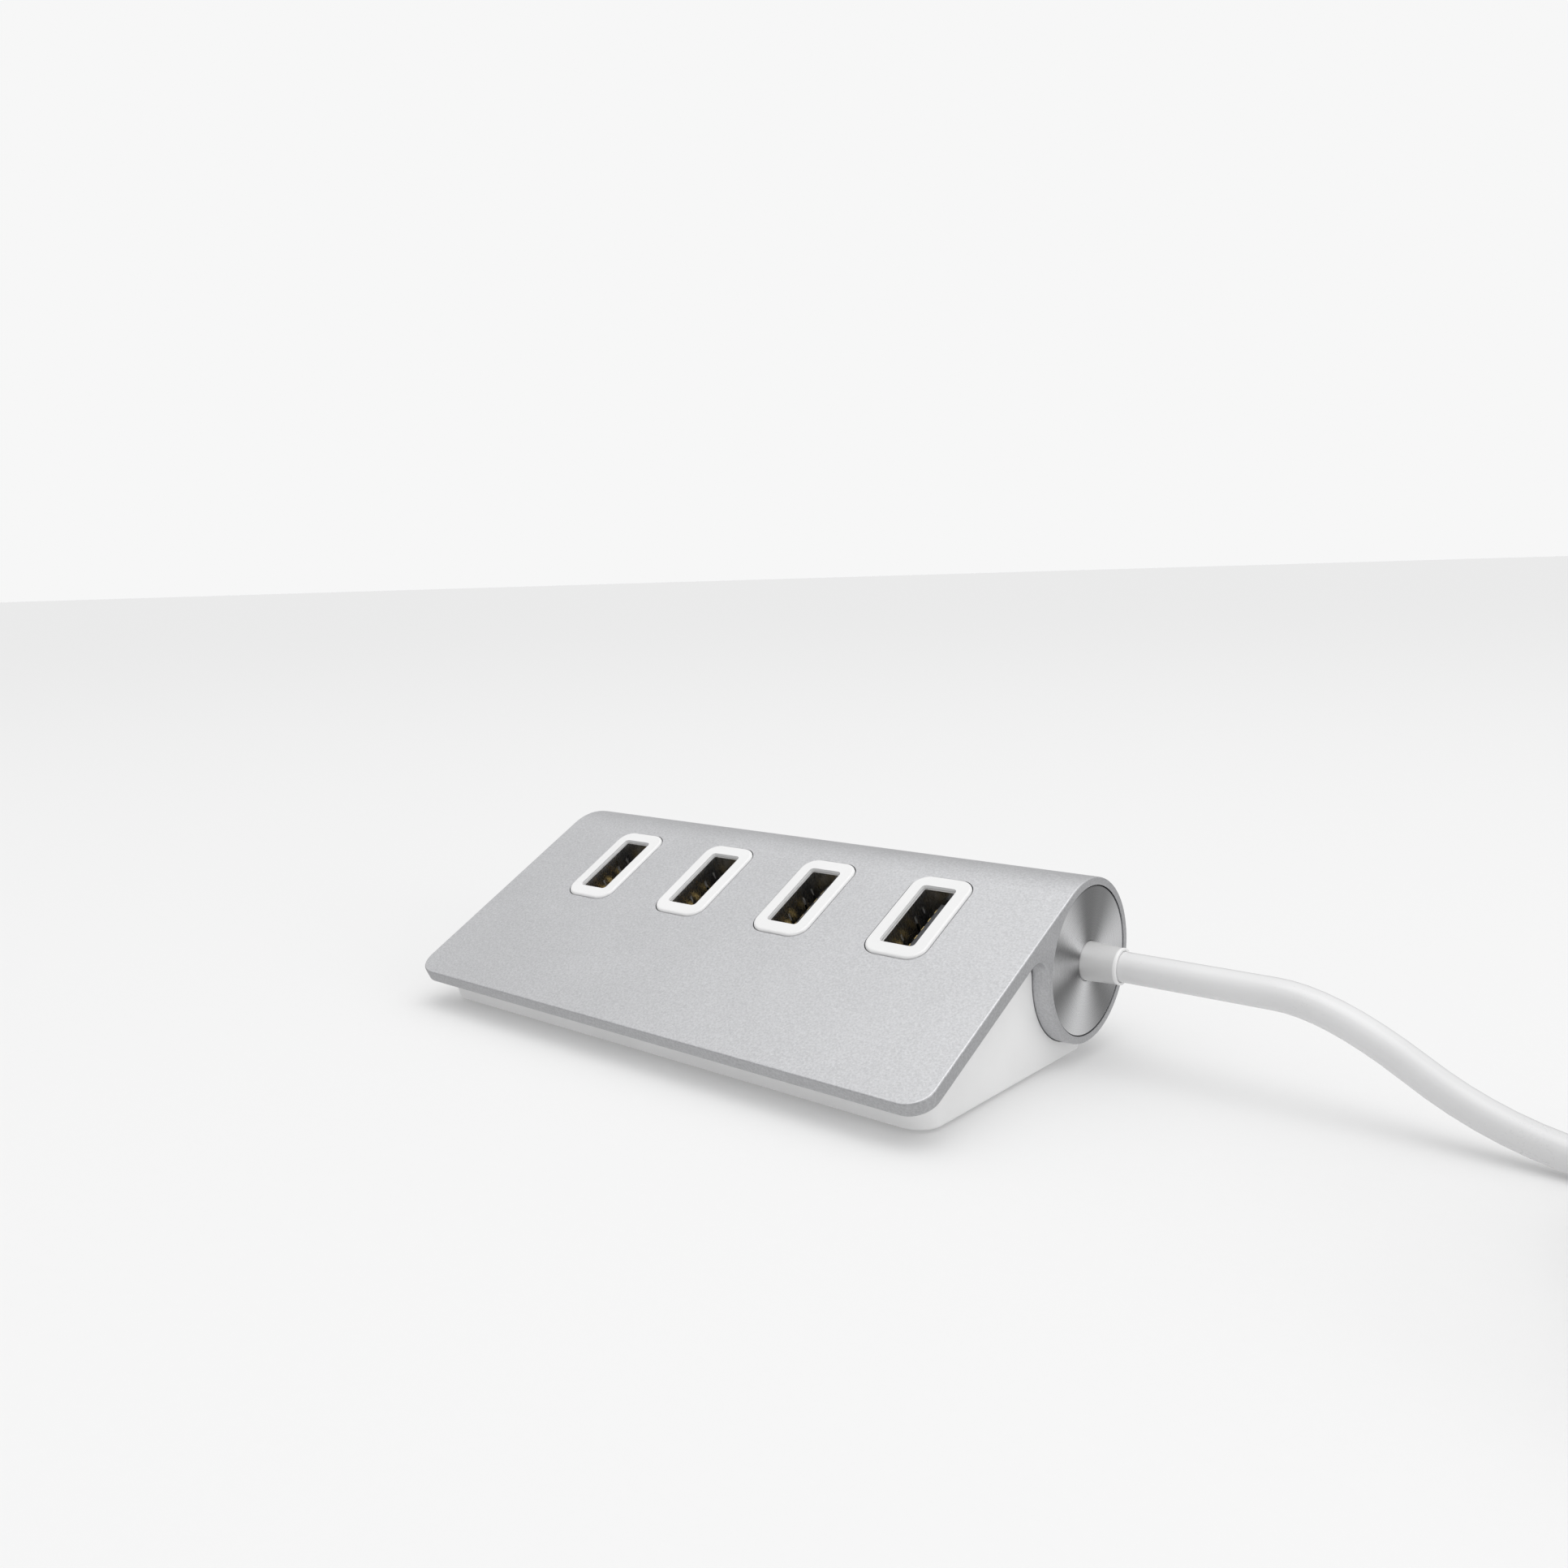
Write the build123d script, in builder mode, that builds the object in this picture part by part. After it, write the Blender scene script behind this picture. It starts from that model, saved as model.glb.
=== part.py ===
"""Wedge-shaped desktop USB hub with a built-in lead.

An aluminium extrusion (a sloping plate that runs into a round tube) carries a white
inner frame with four port bezels.  A white tray closes it from below, two discs close
the tube, and the lead leaves the right disc through a collar.

Frame: X along the tube (lead towards +X), Y from the front edge to the tube, Z up.
Origin: on the desk, under the middle of the hub without its lead.  Millimetres.
"""
from build123d import *
from math import cos, pi, radians, sin, sqrt, tan
import os

os.makedirs("parts", exist_ok=True)

# ------------------------------------------------------------- driving dimensions
port_count = 4
port_pitch = 20.86            # centre to centre along the tube
end_margin = 19.71            # outer port centre to the end of the extrusion
slope_angle = 27.12           # of the plate, degrees above the desk
slope_length = 43.27          # front edge to where the plate runs into the tube
plate_thickness = 2.25
tube_radius = 12.2
tube_wall = 2.0
tube_clearance = 2.92         # lowest point of the tube above the desk
plate_corner_radius = 3.8
groove_radius = 3.0           # between the plate's underside and the tube
edge_break = 0.25
port_setback = 9.63           # port centres, down the slope from the tube's tangent line

cap_rim = 1.13                # metal left round the seat turned in each end of the tube
cap_thickness = 2.0
cap_gap = 0.14                # fine shadow line round each cap
cap_recess = 0.1
cap_spigot_length = 3.0
cap_spigot_wall = 1.5

bezel_long = 18.0             # up the slope
bezel_short = 10.2
bezel_corner_radius = 2.7
bezel_proud = 0.35
bezel_lip_radius = 0.45
window_gap = 0.15
adhesive_thickness = 0.15
frame_thickness = 1.5
frame_front = 6.0             # up the slope from the front edge

shell_long = 13.1             # USB-A receptacle, outside of the sheet metal
shell_short = 5.72
shell_sheet = 0.3
shell_depth = 14.2
shell_recess = 0.15
shell_corner_radius = 0.6
shell_gap = 0.08              # to the bezel's opening
leaf_bow = 0.3                # of the grounding springs, into the opening
leaf_top = 2.2                # of the springs' slots, under the plate's face
leaf_slot_length = 6.0
leaf_slot_width = 2.8
leaf_length = 5.4
leaf_width = 2.0
tongue_width = 11.1
tongue_thickness = 1.84
tongue_recess = 1.9           # tip below the plate's face
tongue_offset = 0.06          # contact face from the middle of the opening
insulator_block_height = 3.7
insulator_gap = 0.04
spring_offsets = (-3.5, -1.0, 1.0, 3.5)
spring_width = 0.7
spring_sheet = 0.2
spring_groove_width = 1.1
spring_groove_depth = 1.05
pad_offsets = (-4.0, -2.0, 0.0, 2.0, 4.0)
pad_width = 0.9
pad_length = 1.6
pad_sheet = 0.1
contact_tail_width = 0.5      # solder tails, through the board
contact_tail_hole_radius = 0.5
contact_tail_length = 2.6
contact_tail_rows = (-1.3, 1.5)
leg_width = 2.0
leg_length = 2.3

spring_elbow_depth = 8.0      # where a contact spring leaves its block
spring_crest_depth = 5.5      # where it touches a plug
spring_crest_x = -0.3
spring_root_x = 0.62          # from the middle of the opening
spring_lean = 0.15            # of the elbow, back from the root

board_thickness = 1.6
board_front = 9.6             # from the port centres down the slope
board_back = 16.1             # from the port centres up the slope
board_edge = 4.4              # from the outer port centres to the board's end
board_post_radius = 1.9
board_post_drop = 4.7         # board screws, down the slope from the port centres
board_screw_radius = 0.8
board_screw_length = 5.0
board_screw_head_radius = 1.5
board_screw_head_height = 1.0
chip_row = 3.0                # the larger parts on the board, up the slope from the port centres
chip_side = 7.0
chip_height = 0.9
chip_edge = 0.15
crystal_long = 8.6
crystal_short = 3.8
crystal_height = 3.4
crystal_flange = 0.4          # width and height of the rim round its foot
regulator_long = 6.5
regulator_short = 3.5
regulator_height = 1.7
regulator_tab = (3.0, 2.0)
regulator_leg = (0.7, 1.8)
regulator_leg_pitch = 2.3
regulator_lead_height = 0.4
capacitor_row = 7.0           # up the slope from the larger parts
capacitor_pitch = 3.4
capacitor_size = (1.25, 2.0)
capacitor_height = 0.9

base_wall = 1.6
base_side_inset = 2.5         # from the ends of the extrusion
base_front_inset = 5.26       # of the bottom edge from the plate's front edge
base_top_inset = 3.2          # of the front wall's top, up the slope
base_rear_overhang = 2.1      # rear wall past the tube's axis
base_corner_radius = 3.9
base_bottom_radius = 0.6
base_seam = 0.12
foot_height = 0.5             # how far a foot stands proud
foot_recess = 0.8
foot_radius = 4.3
foot_gap = 0.15
case_boss_radius = 5.0
case_boss_height = 3.5
case_boss_margin = 1.0
case_post_radius = 2.4
case_post_margin = 2.5        # outer bezel to post
case_screw_radius = 1.0
case_screw_length = 6.0
case_screw_head_radius = 1.9
case_screw_head_height = 1.3
screw_gap = 0.04
screw_tip_gap = 0.4
seat_gap = 0.05

lead_diameter = 4.4
collar_root_wall = 0.7        # round the lead, where the collar leaves the cap
collar_rim_wall = 0.45        # and at its outer end
collar_length = 5.2
collar_gap = 0.08
collar_flange_wall = 2.4
collar_flange_thickness = 1.2
jacket_end_inset = 6.0        # end of the jacket inside the hub, from the cap's back
wire_radius = 0.35
wire_pitch = 0.9              # where the cores leave the jacket
wire_pad_pitch = 1.6          # on the board

coil_turn_radius = 25.0       # middle of the turns
coil_centre_x = 150.0
last_turn_radius = 24.0
last_turn_x = 3.2             # of the last half turn, from the coil's centre
last_turn_y = -8.5
last_run = 10.4               # into the plug
plug_length = 20.0
plug_cavity = 6.0             # how deep the metal shell sits in the overmould
plug_width = 16.0
plug_height = 8.0
plug_edge_radius = 1.6
plug_shell_width = 12.0
plug_shell_height = 4.5
plug_shell_length = 18.75
plug_hole_side = 2.2          # latch holes
plug_hole_pitch = 5.0
plug_hole_start = 7.0         # from the overmould
plug_contact_start = 8.0      # from the overmould
plug_contact_end = 1.6        # short of the shell's mouth
plug_contact_width = 1.0
plug_block_length = 4.0       # full-height part of the insulator, past the overmould
plug_tongue_recess = 0.4

# ------------------------------------------------------------- derived places
slope_cos = cos(radians(slope_angle))
slope_sin = sin(radians(slope_angle))
hub_width = (port_count - 1) * port_pitch + 2 * end_margin
hub_depth = slope_length * slope_cos + tube_radius * slope_sin + tube_radius
front_y = -hub_depth / 2
front_z = tube_clearance + tube_radius + tube_radius * slope_cos - slope_length * slope_sin
port_xs = [(i - (port_count - 1) / 2) * port_pitch for i in range(port_count)]
port_s = slope_length - port_setback


def slope_point(s, depth):
    """(y, z) of the point s up the slope from the front edge and depth under the face."""
    y = front_y + s * slope_cos + depth * slope_sin
    z = front_z + s * slope_sin - depth * slope_cos
    return (y, z)


def slope_plane(depth):
    """Plane parallel to the plate's face: X along the tube, Y up the slope."""
    y, z = slope_point(0, depth)
    return Plane(origin=(0, y, z), x_dir=(1, 0, 0), z_dir=(0, -slope_sin, slope_cos))


def side_plane(x):
    """Plane across the hub at x, with Y and Z as its own axes."""
    return Plane(origin=(x, 0, 0), x_dir=(0, 1, 0), z_dir=(1, 0, 0))


def tube_plane(x):
    """Plane across the tube at x, centred on the tube's axis and facing +X."""
    return Plane(origin=(x, tube_y, tube_z), x_dir=(0, 1, 0), z_dir=(1, 0, 0))


tube_y, tube_z = slope_point(slope_length, tube_radius)
bore_radius = tube_radius - tube_wall
cap_bore_radius = tube_radius - cap_rim
port_places = [(x, port_s) for x in port_xs]
outer_port_x = port_xs[-1]

case_post_x = outer_port_x + bezel_short / 2 + case_post_margin + case_post_radius
pocket_half = case_post_x + case_post_radius + 0.8
frame_half = case_post_x + case_post_radius + 0.1
frame_depth = plate_thickness + adhesive_thickness
frame_back = slope_length - 0.6
frame_under = frame_depth + frame_thickness

base_bottom = foot_height
base_half = hub_width / 2 - base_side_inset
base_front_y = front_y + base_front_inset
base_rear_y = tube_y + base_rear_overhang
floor_top = base_bottom + base_wall
boss_top = base_bottom + case_boss_height
case_front_y = base_front_y + base_wall + case_boss_radius + case_boss_margin
boss_limit_y = tube_y - sqrt(tube_radius**2 - (tube_z - boss_top) ** 2)
case_rear_y = boss_limit_y - case_boss_radius - case_boss_margin
case_screw_seat = base_bottom + foot_recess + case_screw_head_height
case_screw_top = case_screw_seat + case_screw_length
case_places = [(x, y) for x in (-case_post_x, case_post_x) for y in (case_front_y, case_rear_y)]

board_depth = shell_recess + shell_depth
board_under = board_depth + board_thickness
board_half = outer_port_x + board_edge
board_post_xs = [(a + b) / 2 for a, b in zip(port_xs[:-1], port_xs[1:])]
board_post_places = [(x, port_s - board_post_drop) for x in board_post_xs]
inner_long = shell_long - 2 * shell_sheet
inner_short = shell_short - 2 * shell_sheet
block_top = board_depth - insulator_block_height
leg_s = shell_long / 2 - shell_sheet / 2

lead_radius = lead_diameter / 2
collar_root_radius = lead_radius + collar_root_wall
collar_rim_radius = lead_radius + collar_rim_wall
collar_flange_radius = lead_radius + collar_flange_wall
cap_face_x = hub_width / 2 - cap_recess
cap_back_x = cap_face_x - cap_thickness
collar_end_x = cap_face_x + collar_length

# ------------------------------------------------------------- aluminium top
with BuildPart() as top_extrusion:
    with BuildSketch(side_plane(-hub_width / 2)) as top_section:
        with BuildLine():
            Polyline(
                slope_point(0, 0),
                slope_point(slope_length, 0),
                slope_point(slope_length, plate_thickness),
                slope_point(0, plate_thickness),
                close=True,
            )
        make_face()
        with Locations((tube_y, tube_z)):
            Circle(tube_radius)
        under_drop = tube_radius - plate_thickness
        groove_s = slope_length - sqrt(tube_radius**2 - under_drop**2)
        groove = top_section.vertices().sort_by_distance(slope_point(groove_s, plate_thickness))[0]
        fillet(groove, radius=groove_radius)
        with Locations((tube_y, tube_z)):
            Circle(bore_radius, mode=Mode.SUBTRACT)
    extrude(amount=hub_width)
    slope_normal = Axis((0, 0, 0), (0, -slope_sin, slope_cos))
    fillet(top_extrusion.edges().filter_by(slope_normal), radius=plate_corner_radius)
    face_edges = top_extrusion.faces().filter_by(slope_normal).sort_by(Axis.Z)[-1].edges()
    end_edges = [face.outer_wire().edges() for face in top_extrusion.faces().filter_by(Axis.X)]
    round_edges = ShapeList(face_edges) + ShapeList(end_edges[0]) + ShapeList(end_edges[1])
    tangent_edge = face_edges.sort_by(Axis.Z)[-1]
    keep = [e for e in round_edges if e.center() != tangent_edge.center()]
    fillet(ShapeList(set(keep)), radius=edge_break)
    for end in (-1, 1):
        with BuildSketch(tube_plane(end * hub_width / 2)):
            Circle(cap_bore_radius)
        extrude(amount=-end * (cap_recess + cap_thickness), mode=Mode.SUBTRACT)
    # the tube's front wall is milled away between its ends, for the ports and the board
    pocket_limit_y = base_rear_y - base_wall - 0.2
    pocket_drop = (pocket_limit_y - slope_point(slope_length, 0)[0]) / slope_sin
    with BuildSketch(side_plane(-pocket_half)):
        with BuildLine():
            Polyline(
                slope_point(slope_length - 2 * tube_radius, plate_thickness),
                slope_point(slope_length, plate_thickness),
                slope_point(slope_length, pocket_drop),
                (pocket_limit_y, 0),
                (pocket_limit_y - 2 * tube_radius, 0),
                close=True,
            )
        make_face()
    extrude(amount=2 * pocket_half, mode=Mode.SUBTRACT)
    with BuildSketch(slope_plane(0)):
        with Locations(*port_places):
            RectangleRounded(
                bezel_short + 2 * window_gap,
                bezel_long + 2 * window_gap,
                bezel_corner_radius + window_gap,
            )
    extrude(amount=-(plate_thickness + 1), mode=Mode.SUBTRACT)
top_extrusion.part.label = "top_extrusion"
export_step(top_extrusion.part, "parts/top_extrusion.step")

# ------------------------------------------------------------- end caps
with BuildPart() as left_end_cap:
    with BuildSketch(tube_plane(-cap_face_x)):
        Circle(cap_bore_radius - cap_gap)
    extrude(amount=cap_thickness)
    with BuildSketch(tube_plane(-cap_back_x)):
        Circle(bore_radius - seat_gap)
        Circle(bore_radius - cap_spigot_wall, mode=Mode.SUBTRACT)
    extrude(amount=cap_spigot_length)
left_end_cap.part.label = "left_end_cap"
export_step(left_end_cap.part, "parts/left_end_cap.step")

with BuildPart() as right_end_cap:
    with BuildSketch(tube_plane(cap_face_x)):
        Circle(cap_bore_radius - cap_gap)
        Circle(collar_root_radius + collar_gap, mode=Mode.SUBTRACT)
    extrude(amount=-cap_thickness)
    with BuildSketch(tube_plane(cap_back_x)):
        Circle(bore_radius - seat_gap)
        Circle(bore_radius - cap_spigot_wall, mode=Mode.SUBTRACT)
    extrude(amount=-cap_spigot_length)
right_end_cap.part.label = "right_end_cap"
export_step(right_end_cap.part, "parts/right_end_cap.step")

# ------------------------------------------------------------- inner frame with the bezels
with BuildPart() as port_frame:
    with BuildSketch(Plane.XY.offset(boss_top + seat_gap)):
        with Locations(*case_places):
            Circle(case_post_radius)
    extrude(amount=2 * tube_radius)
    with BuildSketch(slope_plane(frame_depth)):
        with Locations((0, slope_length / 2)):
            Rectangle(2 * hub_width, 2 * slope_length)
    extrude(amount=2 * tube_radius, mode=Mode.SUBTRACT)
    with BuildSketch(slope_plane(frame_depth)):
        with Locations((0, (frame_front + frame_back) / 2)):
            Rectangle(2 * frame_half, frame_back - frame_front)
    extrude(amount=-frame_thickness)
    with BuildSketch(slope_plane(frame_under)):
        with Locations(*board_post_places):
            Circle(board_post_radius)
    extrude(amount=-(board_depth - frame_under - seat_gap))
    with BuildSketch(slope_plane(frame_under)):
        with Locations(*port_places):
            RectangleRounded(bezel_short, bezel_long, bezel_corner_radius)
    extrude(amount=frame_under + bezel_proud)
    face_height = slope_plane(0).to_local_coords
    rims = port_frame.edges().filter_by(lambda e: face_height(e.center()).Z > bezel_proud - 0.01)
    fillet(rims, radius=bezel_lip_radius)
    with BuildSketch(slope_plane(-bezel_proud)):
        with Locations(*port_places):
            RectangleRounded(
                shell_short + 2 * shell_gap,
                shell_long + 2 * shell_gap,
                shell_corner_radius + shell_gap,
            )
    extrude(amount=-(frame_under + bezel_proud), mode=Mode.SUBTRACT)
    with BuildSketch(Plane.XY.offset(boss_top + seat_gap)):
        with Locations(*case_places):
            Circle(case_screw_radius + screw_gap)
    extrude(amount=case_screw_top + screw_tip_gap - boss_top, mode=Mode.SUBTRACT)
    with BuildSketch(slope_plane(board_depth - seat_gap)):
        with Locations(*board_post_places):
            Circle(board_screw_radius + screw_gap)
    extrude(amount=board_screw_length - board_thickness + screw_tip_gap, mode=Mode.SUBTRACT)
port_frame.part.label = "port_frame"
export_step(port_frame.part, "parts/port_frame.step")

with BuildPart() as frame_adhesive:
    with BuildSketch(slope_plane(plate_thickness)):
        with Locations((0, (frame_front + frame_back) / 2)):
            Rectangle(2 * frame_half - 2, frame_back - frame_front - 1)
        with Locations(*port_places):
            RectangleRounded(
                bezel_short + 2 * window_gap,
                bezel_long + 2 * window_gap,
                bezel_corner_radius + window_gap,
                mode=Mode.SUBTRACT,
            )
    extrude(amount=-adhesive_thickness)
frame_adhesive.part.label = "frame_adhesive"
export_step(frame_adhesive.part, "parts/frame_adhesive.step")

# ------------------------------------------------------------- white tray, feet and case screws
seam_depth = plate_thickness + base_seam
top_front = slope_point(base_top_inset, seam_depth)
top_back = slope_point(slope_length, seam_depth)
seam_radius = tube_radius + base_seam
apex_s = slope_length - sqrt(seam_radius**2 - (tube_radius - seam_depth) ** 2)

with BuildPart() as base_shell:
    with BuildSketch(side_plane(-base_half)) as tray_side:
        with BuildLine():
            Polyline(
                (base_front_y, base_bottom),
                (base_rear_y, base_bottom),
                (base_rear_y, tube_z),
                top_back,
                top_front,
                close=True,
            )
        make_face()
        with Locations((tube_y, tube_z)):
            Circle(seam_radius, mode=Mode.SUBTRACT)
        apex = tray_side.vertices().sort_by_distance(slope_point(apex_s, seam_depth))[0]
        fillet(apex, radius=groove_radius + base_seam)
    extrude(amount=2 * base_half)
    fillet(base_shell.edges().sort_by(Axis.Y)[1:3], radius=base_corner_radius)
    fillet(base_shell.faces().sort_by(Axis.Z)[0].edges(), radius=base_bottom_radius)
    with BuildSketch(side_plane(-base_half + base_wall)):
        with BuildLine():
            Polyline(
                (base_front_y + base_wall, floor_top),
                (base_rear_y - base_wall, floor_top),
                (base_rear_y - base_wall, 2 * tube_z),
                (top_front[0] + base_wall, 2 * tube_z),
                (top_front[0] + base_wall, top_front[1]),
                close=True,
            )
        make_face()
    extrude(amount=2 * (base_half - base_wall), mode=Mode.SUBTRACT)
    with BuildSketch(Plane.XY.offset(base_bottom)):
        with Locations(*case_places):
            Circle(case_boss_radius)
    extrude(amount=case_boss_height)
    with BuildSketch(Plane.XY.offset(base_bottom)):
        with Locations(*case_places):
            Circle(foot_radius + foot_gap)
    extrude(amount=foot_recess, mode=Mode.SUBTRACT)
    with BuildSketch(Plane.XY.offset(base_bottom)):
        with Locations(*case_places):
            Circle(case_screw_head_radius + 2 * screw_gap)
    extrude(amount=case_screw_seat - base_bottom, mode=Mode.SUBTRACT)
    with BuildSketch(Plane.XY.offset(base_bottom)):
        with Locations(*case_places):
            Circle(case_screw_radius + 2 * screw_gap)
    extrude(amount=case_boss_height, mode=Mode.SUBTRACT)
base_shell.part.label = "base_shell"
export_step(base_shell.part, "parts/base_shell.step")

with BuildPart() as case_screws:
    with BuildSketch(Plane.XY.offset(case_screw_seat)):
        with Locations(*case_places):
            Circle(case_screw_radius)
    extrude(amount=case_screw_length)
    with BuildSketch(Plane.XY.offset(case_screw_seat)):
        with Locations(*case_places):
            Circle(case_screw_head_radius)
    extrude(amount=-case_screw_head_height)
case_screws.part.label = "case_screws"
export_step(case_screws.part, "parts/case_screws.step")

foot_names = ("foot_front_left", "foot_rear_left", "foot_front_right", "foot_rear_right")
for name, place in zip(foot_names, case_places):
    with BuildPart() as foot:
        with BuildSketch(Plane.XY):
            with Locations(place):
                Circle(foot_radius)
        extrude(amount=foot_height + foot_recess)
        fillet(foot.edges().sort_by(Axis.Z)[0], radius=foot_height / 2)
    foot.part.label = name
    export_step(foot.part, f"parts/{name}.step")

# ------------------------------------------------------------- circuit board and its parts
contact_tail_places = [
    (x + row_x, port_s + offset)
    for x in port_xs
    for row_x, offsets in zip(contact_tail_rows, (spring_offsets, pad_offsets))
    for offset in offsets
]
leg_places = [(x, port_s + end * leg_s) for x in port_xs for end in (-1, 1)]

with BuildPart() as circuit_board:
    with BuildSketch(slope_plane(board_depth)):
        with Locations((0, port_s + (board_back - board_front) / 2)):
            Rectangle(2 * board_half, board_front + board_back)
        with Locations(*contact_tail_places):
            Circle(contact_tail_hole_radius, mode=Mode.SUBTRACT)
        with Locations(*leg_places):
            Rectangle(leg_width + 0.4, shell_sheet + 0.5, mode=Mode.SUBTRACT)
        with Locations(*board_post_places):
            Circle(board_screw_radius + 2 * screw_gap, mode=Mode.SUBTRACT)
    extrude(amount=-board_thickness)
circuit_board.part.label = "circuit_board"
export_step(circuit_board.part, "parts/circuit_board.step")

with BuildPart() as board_screws:
    with BuildSketch(slope_plane(board_under)):
        with Locations(*board_post_places):
            Circle(board_screw_radius)
    extrude(amount=board_screw_length)
    with BuildSketch(slope_plane(board_under)):
        with Locations(*board_post_places):
            Circle(board_screw_head_radius)
    extrude(amount=-board_screw_head_height)
board_screws.part.label = "board_screws"
export_step(board_screws.part, "parts/board_screws.step")

chip_s = port_s + chip_row
with BuildPart() as hub_controller_chip:
    with BuildSketch(slope_plane(board_depth)):
        with Locations((board_post_xs[len(board_post_xs) // 2], chip_s)):
            Rectangle(chip_side, chip_side)
    extrude(amount=chip_height)
    chamfer(hub_controller_chip.faces().sort_by(slope_normal)[-1].edges(), length=chip_edge)
hub_controller_chip.part.label = "hub_controller_chip"
export_step(hub_controller_chip.part, "parts/hub_controller_chip.step")

with BuildPart() as clock_crystal:
    with BuildSketch(slope_plane(board_depth)):
        with Locations((board_post_xs[-1], chip_s)):
            RectangleRounded(
                crystal_short + 2 * crystal_flange,
                crystal_long + 2 * crystal_flange,
                crystal_short / 2 + 0.3,
            )
    extrude(amount=crystal_flange)
    with BuildSketch(slope_plane(board_depth)):
        with Locations((board_post_xs[-1], chip_s)):
            RectangleRounded(crystal_short, crystal_long, crystal_short / 2 - 0.05)
    extrude(amount=crystal_height)
    fillet(clock_crystal.faces().sort_by(slope_normal)[-1].edges(), radius=0.3)
clock_crystal.part.label = "clock_crystal"
export_step(clock_crystal.part, "parts/clock_crystal.step")

with BuildPart() as voltage_regulator:
    with BuildSketch(slope_plane(board_depth)):
        with Locations((board_post_xs[0], chip_s)):
            Rectangle(regulator_long, regulator_short)
    extrude(amount=regulator_height)
    with BuildSketch(slope_plane(board_depth)):
        with Locations((board_post_xs[0], chip_s + 2.4)):
            Rectangle(*regulator_tab)
        with Locations((board_post_xs[0], chip_s - 2.3)):
            with GridLocations(regulator_leg_pitch, 1, 3, 1):
                Rectangle(*regulator_leg)
    extrude(amount=regulator_lead_height)
voltage_regulator.part.label = "voltage_regulator"
export_step(voltage_regulator.part, "parts/voltage_regulator.step")

with BuildPart() as capacitors:
    with BuildSketch(slope_plane(board_depth)):
        for x in board_post_xs:
            with Locations((x, chip_s + capacitor_row)):
                with GridLocations(capacitor_pitch, 1, 3, 1):
                    Rectangle(*capacitor_size)
    extrude(amount=capacitor_height)
capacitors.part.label = "capacitors"
export_step(capacitors.part, "parts/capacitors.step")

# ------------------------------------------------------------- four USB-A receptacles
spring_root_depth = block_top + 0.3
spring_tip_depth = tongue_recess + pad_length + 0.9
groove_top_depth = tongue_recess + pad_length + 0.5
groove_foot_depth = block_top + 0.7
spring_tip_x = spring_root_x - 0.2
spring_elbow_x = spring_root_x - spring_lean

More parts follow.
